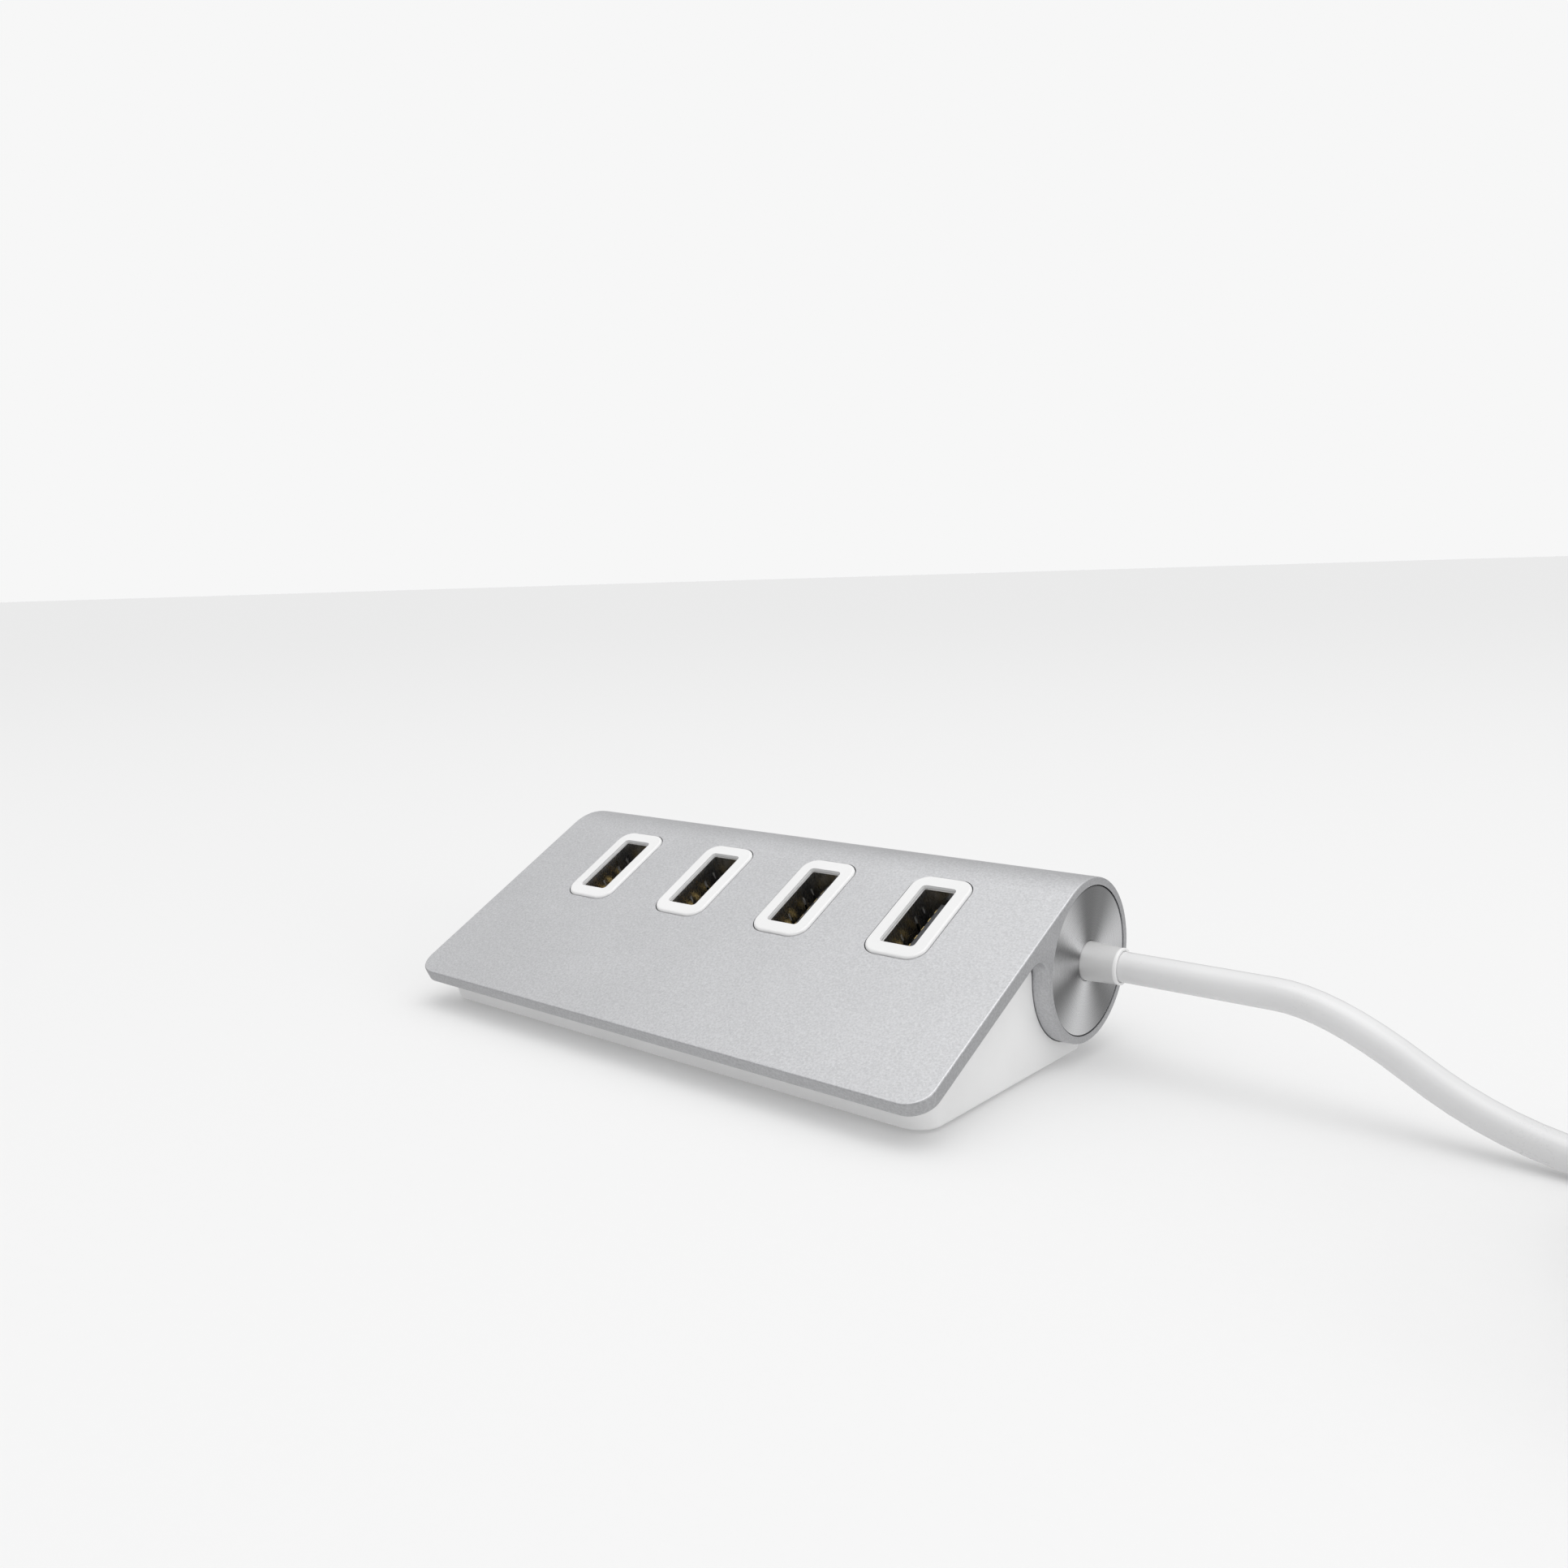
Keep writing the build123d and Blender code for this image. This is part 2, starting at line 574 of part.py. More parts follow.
for number, port_x in enumerate(port_xs, 1):
    with BuildPart() as port_shell:
        with BuildSketch(slope_plane(board_depth)):
            with Locations((port_x, port_s)):
                RectangleRounded(shell_short, shell_long, shell_corner_radius)
        extrude(amount=shell_depth)
        with BuildSketch(slope_plane(board_depth)):
            with Locations((port_x, port_s)):
                RectangleRounded(inner_short, inner_long, shell_corner_radius - shell_sheet)
        extrude(amount=shell_depth, mode=Mode.SUBTRACT)
        with BuildSketch(slope_plane(board_depth)):
            with Locations((port_x, port_s - leg_s), (port_x, port_s + leg_s)):
                Rectangle(leg_width, shell_sheet)
        extrude(amount=-leg_length)
        # two leaf springs on each long side, cut free and bowed into the opening
        for side in (-1, 1):
            wall_x = port_x + side * (shell_short - shell_sheet) / 2
            for leaf_s in (port_s - shell_long / 4, port_s + shell_long / 4):
                with BuildSketch(slope_plane(leaf_top)):
                    with Locations((wall_x, leaf_s)):
                        Rectangle(3 * shell_sheet, leaf_slot_width)
                extrude(amount=-leaf_slot_length, mode=Mode.SUBTRACT)
                leaf_y, leaf_z = slope_point(leaf_s - leaf_width / 2, 0)
                leaf_plane = Plane(
                    origin=(wall_x, leaf_y, leaf_z),
                    x_dir=(0, -slope_sin, slope_cos),
                    z_dir=(0, slope_cos, slope_sin),
                )
                leaf_root = 0.2 - leaf_top
                leaf_crest = leaf_root - 0.6 * leaf_length
                leaf_tip = leaf_root - leaf_length
                inward = -side * leaf_bow
                with BuildSketch(leaf_plane):
                    with BuildLine():
                        Polyline(
                            (leaf_root, -shell_sheet / 2),
                            (leaf_root, shell_sheet / 2),
                            (leaf_crest, shell_sheet / 2 + inward),
                            (leaf_tip, shell_sheet / 2),
                            (leaf_tip, -shell_sheet / 2),
                            (leaf_crest, -shell_sheet / 2 + inward),
                            close=True,
                        )
                    make_face()
                extrude(amount=leaf_width)
    port_shell.part.label = f"port_{number}_shell"
    export_step(port_shell.part, f"parts/port_{number}_shell.step")

    tongue_x = port_x + tongue_offset + tongue_thickness / 2
    groove_x = port_x + tongue_offset + spring_groove_depth / 2
    spring_places = [(groove_x - 0.3, port_s + offset) for offset in spring_offsets]
    with BuildPart() as port_insulator:
        with BuildSketch(slope_plane(board_depth)):
            with Locations((port_x, port_s)):
                RectangleRounded(
                    inner_short - 2 * insulator_gap,
                    inner_long - 2 * insulator_gap,
                    shell_corner_radius - shell_sheet,
                )
        extrude(amount=insulator_block_height)
        with BuildSketch(slope_plane(block_top)):
            with Locations((tongue_x, port_s)):
                Rectangle(tongue_thickness, tongue_width)
        extrude(amount=block_top - tongue_recess)
        chamfer(port_insulator.faces().sort_by(slope_normal)[-1].edges(), length=0.25)
        with BuildSketch(slope_plane(groove_top_depth)):
            with Locations(*spring_places):
                Rectangle(spring_groove_depth + 0.6, spring_groove_width)
        extrude(amount=-(groove_foot_depth - groove_top_depth), mode=Mode.SUBTRACT)
    port_insulator.part.label = f"port_{number}_insulator"
    export_step(port_insulator.part, f"parts/port_{number}_insulator.step")

    with BuildPart() as port_springs:
        for offset in spring_offsets:
            beam_y, beam_z = slope_point(port_s + offset - spring_width / 2, 0)
            beam_plane = Plane(
                origin=(port_x, beam_y, beam_z),
                x_dir=(1, 0, 0),
                z_dir=(0, slope_cos, slope_sin),
            )
            with BuildSketch(beam_plane):
                with BuildLine():
                    Polyline(
                        (spring_root_x, spring_root_depth),
                        (spring_elbow_x, spring_elbow_depth),
                        (spring_crest_x, spring_crest_depth),
                        (spring_tip_x, spring_tip_depth),
                        (spring_tip_x + spring_sheet, spring_tip_depth),
                        (spring_crest_x + spring_sheet, spring_crest_depth + spring_sheet / 2),
                        (spring_elbow_x + spring_sheet, spring_elbow_depth),
                        (spring_root_x + spring_sheet, spring_root_depth),
                        close=True,
                    )
                make_face()
            extrude(amount=spring_width)
    port_springs.part.label = f"port_{number}_springs"
    export_step(port_springs.part, f"parts/port_{number}_springs.step")

    pad_x = port_x + tongue_offset - pad_sheet / 2
    with BuildPart() as port_terminals:
        with BuildSketch(slope_plane(tongue_recess + 0.3)):
            with Locations(*[(pad_x, port_s + offset) for offset in pad_offsets]):
                Rectangle(pad_sheet, pad_width)
        extrude(amount=-pad_length)
        with BuildSketch(slope_plane(board_depth)):
            for row_x, offsets in zip(contact_tail_rows, (spring_offsets, pad_offsets)):
                with Locations(*[(port_x + row_x, port_s + offset) for offset in offsets]):
                    Rectangle(contact_tail_width, contact_tail_width)
        extrude(amount=-contact_tail_length)
    port_terminals.part.label = f"port_{number}_terminals"
    export_step(port_terminals.part, f"parts/port_{number}_terminals.step")

# ------------------------------------------------------------- the lead where it enters the hub
with BuildPart() as lead_collar:
    with BuildSketch(Plane.XY) as collar_section:
        with BuildLine():
            Polyline(
                (cap_back_x - collar_flange_thickness, lead_radius + collar_gap),
                (cap_back_x - collar_flange_thickness, collar_flange_radius),
                (cap_back_x - seat_gap, collar_flange_radius),
                (cap_back_x - seat_gap, collar_root_radius),
                (cap_face_x, collar_root_radius),
                (collar_end_x, collar_rim_radius),
                (collar_end_x, lead_radius + collar_gap),
                close=True,
            )
        make_face()
        rim = collar_section.vertices().sort_by_distance((collar_end_x, collar_rim_radius))[0]
        fillet(rim, radius=0.2)
    revolve(axis=Axis.X)
lead_collar.part.position = (0, tube_y, tube_z)
lead_collar.part.label = "lead_collar"
export_step(lead_collar.part, "parts/lead_collar.step")

jacket_end_x = cap_back_x - jacket_end_inset
with BuildPart() as lead_jacket_end:
    with BuildSketch(tube_plane(jacket_end_x)):
        Circle(lead_radius)
    extrude(amount=collar_end_x - jacket_end_x)
lead_jacket_end.part.label = "lead_jacket_end"
export_step(lead_jacket_end.part, "parts/lead_jacket_end.step")

wire_depth = board_depth - wire_radius - seat_gap
wire_pad_s = port_s + shell_long / 2 + 4.1
with BuildPart() as lead_wires:
    for i in range(-2, 3):
        pad_y, pad_z = slope_point(wire_pad_s + i * wire_pad_pitch, wire_depth)
        core_y = tube_y + i * wire_pitch
        with BuildLine() as core:
            FilletPolyline(
                (jacket_end_x, core_y, tube_z),
                (jacket_end_x - 1.4, core_y, tube_z),
                (board_half + 0.9, pad_y, pad_z),
                (board_half - 2.0, pad_y, pad_z),
                radius=0.6,
            )
        with BuildSketch(Plane(origin=core.line @ 0, z_dir=core.line % 0)):
            Circle(wire_radius)
        sweep(path=core.line)
lead_wires.part.label = "lead_wires"
export_step(lead_wires.part, "parts/lead_wires.step")

# ------------------------------------------------------------- the free lead, its coil and its plug
lie_z = lead_radius + seat_gap
outer_turn = coil_turn_radius + lead_radius
lead_route = [
    (collar_end_x, tube_y, tube_z),
    (82.0, tube_y, tube_z),
    (105.0, 15.2, lie_z),
    (129.0, 13.2, lie_z),
    (coil_centre_x, 12.6, lie_z),
]
coil_centre_y = lead_route[-1][1] - outer_turn
coil_top = 2 * lead_diameter + seat_gap
plug_z = coil_top + plug_height / 2
# the last half turn climbs onto the coil and runs into the plug, which lies on it
last_turn_step = 180 / 7
last_x = coil_centre_x + last_turn_x
last_y = coil_centre_y + last_turn_y
last_turn_corner = last_turn_radius / cos(radians(last_turn_step / 2))
last_turn_heights = (6.65, 6.9, 8.0, 9.4, 10.8, 12.0, 12.7, plug_z)
last_turn_angles = [radians((0.5 - i) * last_turn_step) for i in range(len(last_turn_heights))]
last_route = [
    (last_x + last_turn_corner * cos(angle), last_y + last_turn_corner * sin(angle), z)
    for angle, z in zip(last_turn_angles, last_turn_heights)
]
last_route.append((last_route[-1][0], last_route[-1][1] + last_run, plug_z))


def bend_radii(route):
    """Radius of the arc at each inner point: as large as the shorter run beside it allows."""
    radii = []
    for before, corner, after in zip(route, route[1:], route[2:]):
        run_in = Vector(*corner) - Vector(*before)
        run_out = Vector(*after) - Vector(*corner)
        shorter = min(run_in.length, run_out.length)
        radii.append(0.45 * shorter / tan(radians(run_in.get_angle(run_out) / 2)))
    return radii


for node_name, route in (("lead", lead_route), ("lead_tail", last_route)):
    radii = bend_radii(route)
    with BuildPart() as lead_tube:
        with BuildLine() as lead_path:
            FilletPolyline(*route, radius=radii)
        with BuildSketch(Plane(origin=lead_path.line @ 0, z_dir=lead_path.line % 0)):
            Circle(lead_radius)
        sweep(path=lead_path.line)
    lead_tube.part.label = node_name
    export_step(lead_tube.part, f"parts/{node_name}.step")
    path_length = lead_path.wires()[0].length
    ideal_volume = pi * lead_radius**2 * path_length
    print(node_name, "bend radii in mm:", [round(r, 1) for r in radii])
    print(node_name, "length", round(path_length, 1), "mm, volume over section times length",
          round(lead_tube.part.volume / ideal_volume, 4))

coil_plane = Plane(origin=(coil_centre_x, coil_centre_y, 0), x_dir=(1, 0, 0), z_dir=(0, -1, 0))
with BuildPart() as lead_coil:
    with BuildSketch(coil_plane):
        with Locations((coil_turn_radius, seat_gap + lead_diameter)):
            RectangleRounded(2 * lead_diameter, 2 * lead_diameter - 0.01, lead_radius - 0.2)
    revolve(axis=Axis((coil_centre_x, coil_centre_y, 0), (0, 0, 1)))
lead_coil.part.label = "lead_coil"
export_step(lead_coil.part, "parts/lead_coil.step")

plug_x, plug_y, _ = last_route[-1]
plug_plane = Plane(origin=(plug_x, plug_y, plug_z), x_dir=(1, 0, 0), z_dir=(0, 1, 0))
with BuildPart() as plug_overmould:
    with BuildSketch(plug_plane):
        Rectangle(plug_width, plug_height)
    extrude(amount=plug_length)
    fillet(plug_overmould.edges().filter_by(Axis.Y), radius=plug_edge_radius)
    fillet(plug_overmould.faces().sort_by(Axis.Y)[0].edges(), radius=plug_edge_radius / 2)
    with BuildSketch(plug_plane.offset(plug_length)):
        Rectangle(plug_shell_width + 2 * seat_gap, plug_shell_height + 2 * seat_gap)
    extrude(amount=-plug_cavity, mode=Mode.SUBTRACT)
plug_overmould.part.label = "plug_overmould"
export_step(plug_overmould.part, "parts/plug_overmould.step")

with BuildPart() as plug_shell:
    with BuildSketch(plug_plane.offset(plug_length - plug_cavity)):
        RectangleRounded(plug_shell_width, plug_shell_height, 0.5)
        Rectangle(
            plug_shell_width - 2 * shell_sheet,
            plug_shell_height - 2 * shell_sheet,
            mode=Mode.SUBTRACT,
        )
    extrude(amount=plug_cavity + plug_shell_length)
    with BuildSketch(plug_plane.offset(plug_length + plug_hole_start)):
        with GridLocations(plug_hole_pitch, 1, 2, 1):
            Rectangle(plug_hole_side, plug_height)
    extrude(amount=plug_hole_side, mode=Mode.SUBTRACT)
plug_shell.part.label = "plug_shell"
export_step(plug_shell.part, "parts/plug_shell.step")

plug_inside_height = plug_shell_height - 2 * shell_sheet - 2 * insulator_gap
plug_block_height = plug_inside_height / 2
with BuildPart() as plug_insulator:
    with BuildSketch(plug_plane.offset(plug_length - plug_cavity)):
        Rectangle(plug_shell_width - 2 * shell_sheet - 2 * insulator_gap, plug_inside_height)
    extrude(amount=plug_cavity + plug_block_length)
    with BuildSketch(plug_plane.offset(plug_length - plug_cavity)):
        with Locations((0, plug_block_height / 2)):
            Rectangle(plug_shell_width - 2 * shell_sheet - 2 * insulator_gap, plug_block_height)
    extrude(amount=plug_cavity + plug_shell_length - plug_tongue_recess)
plug_insulator.part.label = "plug_insulator"
export_step(plug_insulator.part, "parts/plug_insulator.step")

with BuildPart() as plug_contacts:
    with BuildSketch(plug_plane.offset(plug_length + plug_contact_start)):
        with Locations(*[(offset, -pad_sheet / 2) for offset in spring_offsets]):
            Rectangle(plug_contact_width, pad_sheet)
    extrude(amount=plug_shell_length - plug_contact_start - plug_contact_end)
plug_contacts.part.label = "plug_contacts"
export_step(plug_contacts.part, "parts/plug_contacts.step")

# ------------------------------------------------------------- places that the record repeats
spring_axis_y, spring_axis_z = slope_point(port_s, spring_root_depth)
print("hub", round(hub_width, 3), round(hub_depth, 3), round(tube_z + tube_radius, 3))
print("spring axes at x", [round(x + spring_root_x + spring_sheet / 2, 3) for x in port_xs])
print("spring axes at y, z", round(spring_axis_y, 4), round(spring_axis_z, 4))
print("slope direction", round(slope_cos, 6), round(slope_sin, 6))
print("lead exit", [round(v, 4) for v in lead_route[0]], "coil centre", coil_centre_x, round(coil_centre_y, 3))
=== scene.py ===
"""Looks of a four-port desktop USB hub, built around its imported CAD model.

Laid out as a Blender add-on: settings, one operator for each group of pieces, one for the
stage, and a panel that lists them.  Run as a script, it builds the whole hub.
Metres, in the row frame: X along the tube, Y from the front edge to the tube, Z up.
"""

import random
from math import cos, pi, radians, sin

import bmesh
import bpy
from mathutils import Matrix, Vector


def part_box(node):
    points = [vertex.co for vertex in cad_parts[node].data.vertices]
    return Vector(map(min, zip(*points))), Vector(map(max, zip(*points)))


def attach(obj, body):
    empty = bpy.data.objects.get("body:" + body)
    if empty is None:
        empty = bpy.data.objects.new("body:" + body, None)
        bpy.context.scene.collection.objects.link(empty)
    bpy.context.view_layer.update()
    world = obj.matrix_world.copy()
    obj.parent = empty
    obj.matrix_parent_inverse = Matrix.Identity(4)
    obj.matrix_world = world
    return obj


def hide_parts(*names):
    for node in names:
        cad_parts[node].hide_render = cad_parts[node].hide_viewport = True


bl_info = {
    "name": "Desktop USB hub",
    "version": (1, 0, 0),
    "blender": (4, 5, 0),
    "location": "View3D > Sidebar > USB hub",
    "description": "Finishes, lead and studio for a four-port aluminium USB hub",
    "category": "Object",
}

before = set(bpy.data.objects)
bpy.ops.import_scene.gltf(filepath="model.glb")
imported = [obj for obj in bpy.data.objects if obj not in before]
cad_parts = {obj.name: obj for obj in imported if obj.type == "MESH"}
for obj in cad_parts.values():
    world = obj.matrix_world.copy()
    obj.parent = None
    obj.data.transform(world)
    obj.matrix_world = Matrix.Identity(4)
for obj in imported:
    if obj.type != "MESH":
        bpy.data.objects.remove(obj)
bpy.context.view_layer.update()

MM = 0.001
PORT_NUMBERS = (1, 2, 3, 4)
HUB_BODY = "hub"

tube_low, tube_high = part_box("right_end_cap")
TUBE_AXIS = Vector((0, (tube_low.y + tube_high.y) / 2, (tube_low.z + tube_high.z) / 2))
SLOPE_ANGLE = radians(27.12)

CAP_HOLE_MARGIN = 0.78 * MM  # round the lead, for the collar
SHELL_SEAT_GAP = 0.1 * MM  # between the plug's metal shell and its overmould
COLLAR_END = (56.1, 15.937, 15.12)  # mm, where the lead leaves its collar
COIL_CENTRE = (150, -14.6, 0)  # mm


# ---------------------------------------------------------------- settings
class HubFinishSettings(bpy.types.PropertyGroup):
    """Colours and grain of the hub's own pieces."""

    aluminium_colour: bpy.props.FloatVectorProperty(
        name="Aluminium",
        description="Colour of the clear anodised aluminium",
        subtype="COLOR",
        size=3,
        min=0,
        max=1,
        default=(0.588, 0.591, 0.603),
    )
    blast_grain: bpy.props.FloatProperty(
        name="Blast grain",
        description="Width of one dimple left by the blasting beads",
        unit="LENGTH",
        precision=6,
        default=0.00013,
    )
    groove_pitch: bpy.props.FloatProperty(
        name="Turning pitch",
        description="Distance between two turning grooves on an end cap",
        unit="LENGTH",
        precision=6,
        default=0.00017,
    )
    groove_depth: bpy.props.FloatProperty(
        name="Turning depth",
        description="Depth of a turning groove on an end cap",
        unit="LENGTH",
        precision=6,
        default=0.000014,
    )
    bezel_colour: bpy.props.FloatVectorProperty(
        name="Bezels",
        description="Colour of the polished white inner frame and its bezels",
        subtype="COLOR",
        size=3,
        min=0,
        max=1,
        default=(0.84, 0.84, 0.84),
    )
    tray_colour: bpy.props.FloatVectorProperty(
        name="Tray",
        description="Colour of the satin white tray",
        subtype="COLOR",
        size=3,
        min=0,
        max=1,
        default=(0.88, 0.88, 0.88),
    )
    tongue_colour: bpy.props.FloatVectorProperty(
        name="Tongues",
        description="Colour of the plastic tongues in the ports",
        subtype="COLOR",
        size=3,
        min=0,
        max=1,
        default=(0.035, 0.036, 0.04),
    )


class HubLeadSettings(bpy.types.PropertyGroup):
    """Sizes and colour of the built-in lead."""

    diameter: bpy.props.FloatProperty(
        name="Diameter",
        description="Outside diameter of the lead's jacket",
        unit="LENGTH",
        precision=4,
        default=0.0044,
    )
    length: bpy.props.FloatProperty(
        name="Length",
        description="Length of the lead from its collar to its plug",
        unit="LENGTH",
        precision=4,
        default=0.697,
    )
    outer_turn: bpy.props.FloatProperty(
        name="Outer turns",
        description="Radius of the coil's outer turns, to the middle of the lead",
        unit="LENGTH",
        precision=4,
        default=0.0272,
    )
    inner_turn: bpy.props.FloatProperty(
        name="Inner turns",
        description="Radius of the coil's inner turns, to the middle of the lead",
        unit="LENGTH",
        precision=4,
        default=0.0228,
    )
    jacket_colour: bpy.props.FloatVectorProperty(
        name="Jacket",
        description="Colour of the lead's soft jacket",
        subtype="COLOR",
        size=3,
        min=0,
        max=1,
        default=(0.75, 0.75, 0.754),
    )


class HubStageSettings(bpy.types.PropertyGroup):
    """Camera, floor and lights."""

    camera_place: bpy.props.FloatVectorProperty(
        name="Camera place",
        description="Where the camera stands",
        subtype="TRANSLATION",
        unit="LENGTH",
        size=3,
        precision=5,
        default=(0.136993, -0.162375, 0.070913),
    )
    camera_yaw: bpy.props.FloatProperty(
        name="Yaw",
        description="Turn of the camera to the left of the Y axis",
        unit="ROTATION",
        default=radians(43.3076),
    )
    camera_pitch: bpy.props.FloatProperty(
        name="Pitch",
        description="How far the camera looks down",
        unit="ROTATION",
        default=radians(10.2536),
    )
    camera_roll: bpy.props.FloatProperty(
        name="Roll",
        description="Turn of the camera about its own line of sight",
        unit="ROTATION",
        default=radians(-1.7043),
    )
    camera_lens: bpy.props.FloatProperty(
        name="Lens",
        description="Focal length in millimetres on a 36 mm sensor",
        default=31.165,
    )
    camera_shift: bpy.props.FloatVectorProperty(
        name="Shift",
        description="Sideways and upward shift of the lens, in frame widths",
        size=2,
        precision=5,
        default=(0.07205, 0.0264),
    )
    floor_colour: bpy.props.FloatVectorProperty(
        name="Floor",
        description="Colour of the studio floor",
        subtype="COLOR",
        size=3,
        min=0,
        max=1,
        default=(0.695, 0.695, 0.695),
    )
    backdrop: bpy.props.FloatProperty(
        name="Backdrop",
        description="Brightness of the plain backdrop behind the floor",
        default=0.93,
    )
    floor_glow: bpy.props.FloatProperty(
        name="Floor glow",
        description="Light the floor gives off by itself, which softens the shadow on it",
        default=0.155,
    )
    top_light: bpy.props.FloatProperty(
        name="Top light",
        description="Power of the overhead softbox",
        subtype="POWER",
        default=1.2,
    )
    side_light: bpy.props.FloatProperty(
        name="Side light",
        description="Power of the softbox on the lead's side",
        subtype="POWER",
        default=1.5,
    )


# ---------------------------------------------------------------- shader maths
class Shade:
    """One output of a node; Python's operators on it add Math nodes to its tree."""

    def __init__(self, paint, output):
        self.paint = paint
        self.output = output

    def math(self, operation, *values):
        return self.paint.add("ShaderNodeMath", {"operation": operation}, dict(enumerate(values)))

    def __add__(self, other):
        return self.math("ADD", self, other)

    def __sub__(self, other):
        return self.math("SUBTRACT", self, other)

    def __rsub__(self, other):
        return self.math("SUBTRACT", other, self)

    def __mul__(self, other):
        return self.math("MULTIPLY", self, other)

    def __truediv__(self, other):
        return self.math("DIVIDE", self, other)

    def __pow__(self, other):
        return self.math("POWER", self, other)

    __radd__ = __add__
    __rmul__ = __mul__


class Paint:
    """The node tree of one finish; add() makes every node in it."""

    def __init__(self, tree):
        self.tree = tree
        tree.nodes.clear()

    def add(self, kind, settings=None, inputs=None, output=0):
        node = self.tree.nodes.new(kind)
        for key, value in (settings or {}).items():
            if key == "stops":
                set_stops(node.color_ramp.elements, value)
            elif key == "smoothing":
                node.color_ramp.interpolation = value
            else:
                setattr(node, key, value)
        for key, value in (inputs or {}).items():
            if isinstance(value, Shade):
                self.tree.links.new(value.output, node.inputs[key])
            else:
                node.inputs[key].default_value = value
        return Shade(self, node.outputs[output]) if node.outputs else node

    def place(self, centre=(0, 0, 0), turn=(0, 0, 0), stretch=(1, 1, 1)):
        """Object coordinates about a centre, turned and stretched."""
        here = self.add("ShaderNodeTexCoord", output="Object")
        moved = self.add(
            "ShaderNodeVectorMath", {"operation": "SUBTRACT"}, {0: here, 1: tuple(centre)}
        )
        return self.add(
            "ShaderNodeMapping", {}, {"Vector": moved, "Rotation": turn, "Scale": stretch}
        )

    def noise(self, at, size, detail=2.0, roughness=0.5):
        """Soft noise from 0 to 1 whose patches are about size metres wide."""
        return self.add(
            "ShaderNodeTexNoise",
            {},
            {"Vector": at, "Scale": 1 / size, "Detail": detail, "Roughness": roughness},
        )

    def dimples(self, at, size):
        """Rounded cells, 0 at their middle, about size metres wide."""
        return self.add(
            "ShaderNodeTexVoronoi",
            {"feature": "SMOOTH_F1"},
            {"Vector": at, "Scale": 1 / size, "Smoothness": 0.4},
        )

    def blend(self, factor, first, second):
        """Colour between first and second."""
        return self.add(
            "ShaderNodeMix",
            {"data_type": "RGBA"},
            {0: factor, 6: with_alpha(first), 7: with_alpha(second)},
            output=2,
        )

    def spread(self, value, low, high, to_low=0.0, to_high=1.0):
        """value from low..high brought to to_low..to_high and held there."""
        return self.add(
            "ShaderNodeMapRange",
            {"clamp": True},
            {"Value": value, 1: low, 2: high, 3: to_low, 4: to_high},
        )

    def bump(self, height, depth, strength=1.0, below=None):
        """Normal of a height field; depth in metres for a height of 1."""
        inputs = {"Height": height, "Distance": depth, "Strength": strength}
        if below is not None:
            inputs["Normal"] = below
        return self.add("ShaderNodeBump", {}, inputs)


class Finish(Paint):
    """A named material that ends in one Principled surface."""

    def __init__(self, name):
        self.material = bpy.data.materials.new(name)
        self.material.use_nodes = True
        super().__init__(self.material.node_tree)

    def close(self, inputs):
        surface = self.add("ShaderNodeBsdfPrincipled", {}, inputs)
        self.add("ShaderNodeOutputMaterial", {}, {"Surface": surface})
        return self.material


def set_stops(elements, stops):
    """Colour stops of a ramp: (place, grey or colour) pairs."""
    while len(elements) < len(stops):
        elements.new(1.0)
    for element, (place, value) in zip(elements, stops):
        element.position = place
        element.color = with_alpha(value if isinstance(value, tuple) else (value,) * 3)


def with_alpha(colour):
    """A colour as a node socket wants it; links and finished colours pass through."""
    return colour if isinstance(colour, Shade) or len(colour) == 4 else (*colour, 1.0)


def tone(colour, factor):
    """The same colour, lighter or darker."""
    return tuple(min(1.0, part * factor) for part in colour)


# ---------------------------------------------------------------- mesh helpers
def keep_mesh(name, mesh, material, body=HUB_BODY, sharp=radians(40)):
    """A finished piece from a bmesh: clean normals, smooth faces with sharp creases."""
    bmesh.ops.remove_doubles(mesh, verts=mesh.verts, dist=1e-7)
    bmesh.ops.recalc_face_normals(mesh, faces=mesh.faces)
    for face in mesh.faces:
        face.smooth = True
    data = bpy.data.meshes.new(name)
    mesh.to_mesh(data)
    mesh.free()
    data.set_sharp_from_angle(angle=sharp)
    data.materials.append(material)
    piece = bpy.data.objects.new(name, data)
    bpy.context.scene.collection.objects.link(piece)
    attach(piece, body)
    return piece


def turned(profile, steps):
    """A bmesh of (x, radius) points turned about the tube's axis."""
    mesh = bmesh.new()
    points = [mesh.verts.new(TUBE_AXIS + Vector((x, 0, radius))) for x, radius in profile]
    lines = [mesh.edges.new(pair) for pair in zip(points, points[1:] + points[:1])]
    bmesh.ops.spin(
        mesh,
        geom=points + lines,
        cent=TUBE_AXIS,
        axis=(1, 0, 0),
        angle=2 * pi,
        steps=steps,
        use_merge=True,
    )
    return mesh


def rounded_outline(width, height, corner, steps=8):
    """Points (x, z) round a rectangle with round corners."""
    points = []
    for quarter, (side_x, side_z) in enumerate(((1, 1), (-1, 1), (-1, -1), (1, -1))):
        for step in range(steps + 1):
            angle = (quarter + step / steps) * pi / 2
            x = side_x * (width / 2 - corner) + corner * cos(angle)
            z = side_z * (height / 2 - corner) + corner * sin(angle)
            points.append((x, z))
    return points


def dress(material, *names):
    """Gives CAD nodes a finish."""
    for name in names:
        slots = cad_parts[name].data.materials
        slots.clear()
        slots.append(material)


def port_nodes(suffix):
    return [f"port_{number}_{suffix}" for number in PORT_NUMBERS]


